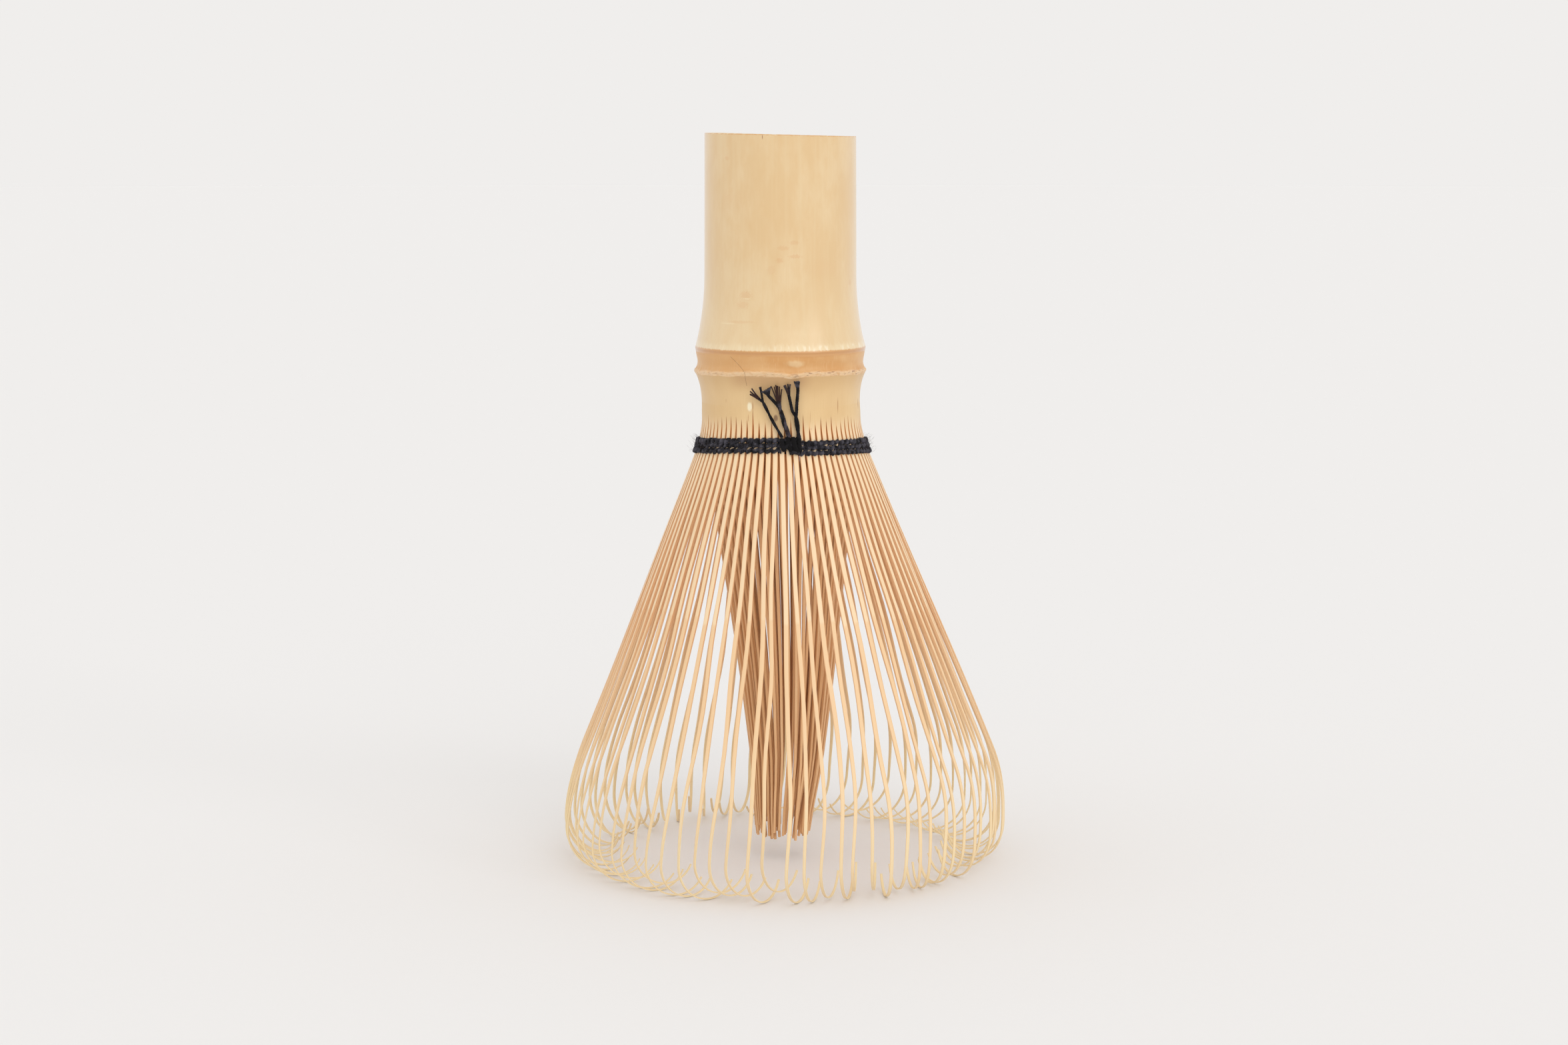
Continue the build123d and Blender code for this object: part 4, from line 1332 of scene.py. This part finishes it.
# Thread ends, left to right. Each holds its course, free of its fellows from its fourth point, the turn and
# reach of its lay round them, its half thickness, and its frayed end: strands, half spread, skew, length,
# half thickness and tone
TAILS = (
    (
        (*STEM_LEFT, (-0.00323, 0.07144)),
        0.0, 0.00008, 0.00019, (3, 0.00050, 0.18, 0.00150, 0.00014, 0.75),
    ),
    (
        (*STEM_LEFT, (-0.00274, 0.07209), (-0.00292, 0.07299)),
        3.1, 0.00008, 0.00017, (4, 0.00008, 0.00, 0.00012, 0.00011, 0.70),
    ),
    (
        (*STEM_MIDDLE, (-0.00042, 0.07030), (-0.00105, 0.07111), (-0.00167, 0.07177), (-0.00180, 0.07205)),
        0.6, 0.00015, 0.00025, (17, 0.00064, 0.20, 0.00085, 0.00011, 0.35),
    ),
    (
        (*STEM_MIDDLE, (-0.00026, 0.07030), (-0.00042, 0.07111)),
        2.7, 0.00015, 0.00023, (4, 0.00044, 0.04, 0.00235, 0.00011, 0.90),
    ),
    (
        (*STEM_MIDDLE, (-0.00010, 0.07030), (-0.00013, 0.07111)),
        4.8, 0.00015, 0.00022, (3, 0.00034, -0.08, 0.00205, 0.00011, 0.90),
    ),
    (
        (*STEM_RIGHT, (0.00166, 0.06973), (0.00137, 0.07111), (0.00114, 0.07234)),
        3.4, 0.00011, 0.00024, (4, 0.00048, 0.04, 0.00125, 0.00016, 0.70),
    ),
    (
        (*STEM_RIGHT, (0.00226, 0.06973), (0.00237, 0.07095), (0.00254, 0.07258), (0.00251, 0.07315)),
        0.3, 0.00011, 0.00025, (18, 0.00026, 0.00, 0.00092, 0.00011, 0.35),
    ),
)

# The stray fibre across the node, in millimetres
STRAY_FIBRE = (
    (-7.3, -11.4, 77.5),
    (-6.3, -12.4, 76.6),
    (-5.3, -12.9, 75.4),
    (-5.1, -12.8, 74.4),
    (-4.9, -12.7, 73.3),
)


def place_thread():
    dice = random.Random(THREAD_SEED)
    for name, z in ROW_HEIGHTS.items():
        place(make_row(name, z, dice), "black_cotton", f"braid_row_{name}")
    place(make_weft(), "black_cotton", "braid_weft")
    place(make_knot(dice), "black_cotton", "braid_knot")
    for number, tail in enumerate(TAILS, start=1):
        place(make_tail(number, tail, dice), "black_cotton", f"thread_tail_{number}")
    place(make_fuzz(dice), "black_cotton")


# ---------------------------------------------------------------- pieces


place(make_culm(), "bamboo_skin", "handle_culm")
place(make_node_band(), "bamboo_node", "node_band")
place(make_collar(), "bamboo_skin", "collar")
place(make_septum(), "bamboo_flesh", "node_septum")
place_tines()
place_thread()


# ---------------------------------------------------------------- floor, light and camera


WORLD_PALE = (0.871, 0.855, 0.840)
# Soft suns: name, energy, spread, rotation in degrees and colour
SUNS = (
    ("key", 0.55, 45, (52, 0, 16), (1.0, 0.985, 0.97)),
    ("window", 0.26, 22, (68, 0, 52), (1.0, 1.0, 1.0)),
    ("fill", 0.07, 40, (75, 0, -75), (1.0, 1.0, 1.0)),
)
CAMERA_PLACE = (0.00015, -0.450, 0.110)
CAMERA_DIP = 7.404
CAMERA_LENS = 68.88
FLOOR_RADIUS = 6.0


def make_floor():
    bpy.ops.mesh.primitive_circle_add(vertices=96, radius=FLOOR_RADIUS, fill_type="NGON")
    floor = bpy.context.object
    floor.name = "floor"
    floor.data.materials.append(floor_paper())


def make_light():
    world = bpy.data.worlds.new("studio")
    world.use_nodes = True
    world.node_tree.nodes["Background"].inputs["Color"].default_value = (*WORLD_PALE, 1.0)
    bpy.context.scene.world = world
    for name, energy, spread, turns, colour in SUNS:
        sun = bpy.data.objects.new(name, bpy.data.lights.new(name, "SUN"))
        sun.data.energy = energy
        sun.data.angle = radians(spread)
        sun.data.color = colour
        sun.rotation_euler = [radians(turn) for turn in turns]
        bpy.context.scene.collection.objects.link(sun)


def make_camera():
    camera = bpy.data.objects.new("camera", bpy.data.cameras.new("camera"))
    camera.location = CAMERA_PLACE
    camera.rotation_euler = (radians(90 - CAMERA_DIP), 0, 0)
    camera.data.lens = CAMERA_LENS
    camera.data.sensor_width = 36.0
    camera.data.clip_start = 0.01
    bpy.context.scene.collection.objects.link(camera)
    bpy.context.scene.camera = camera


make_floor()
make_light()
make_camera()
bpy.context.scene.view_settings.view_transform = "Standard"
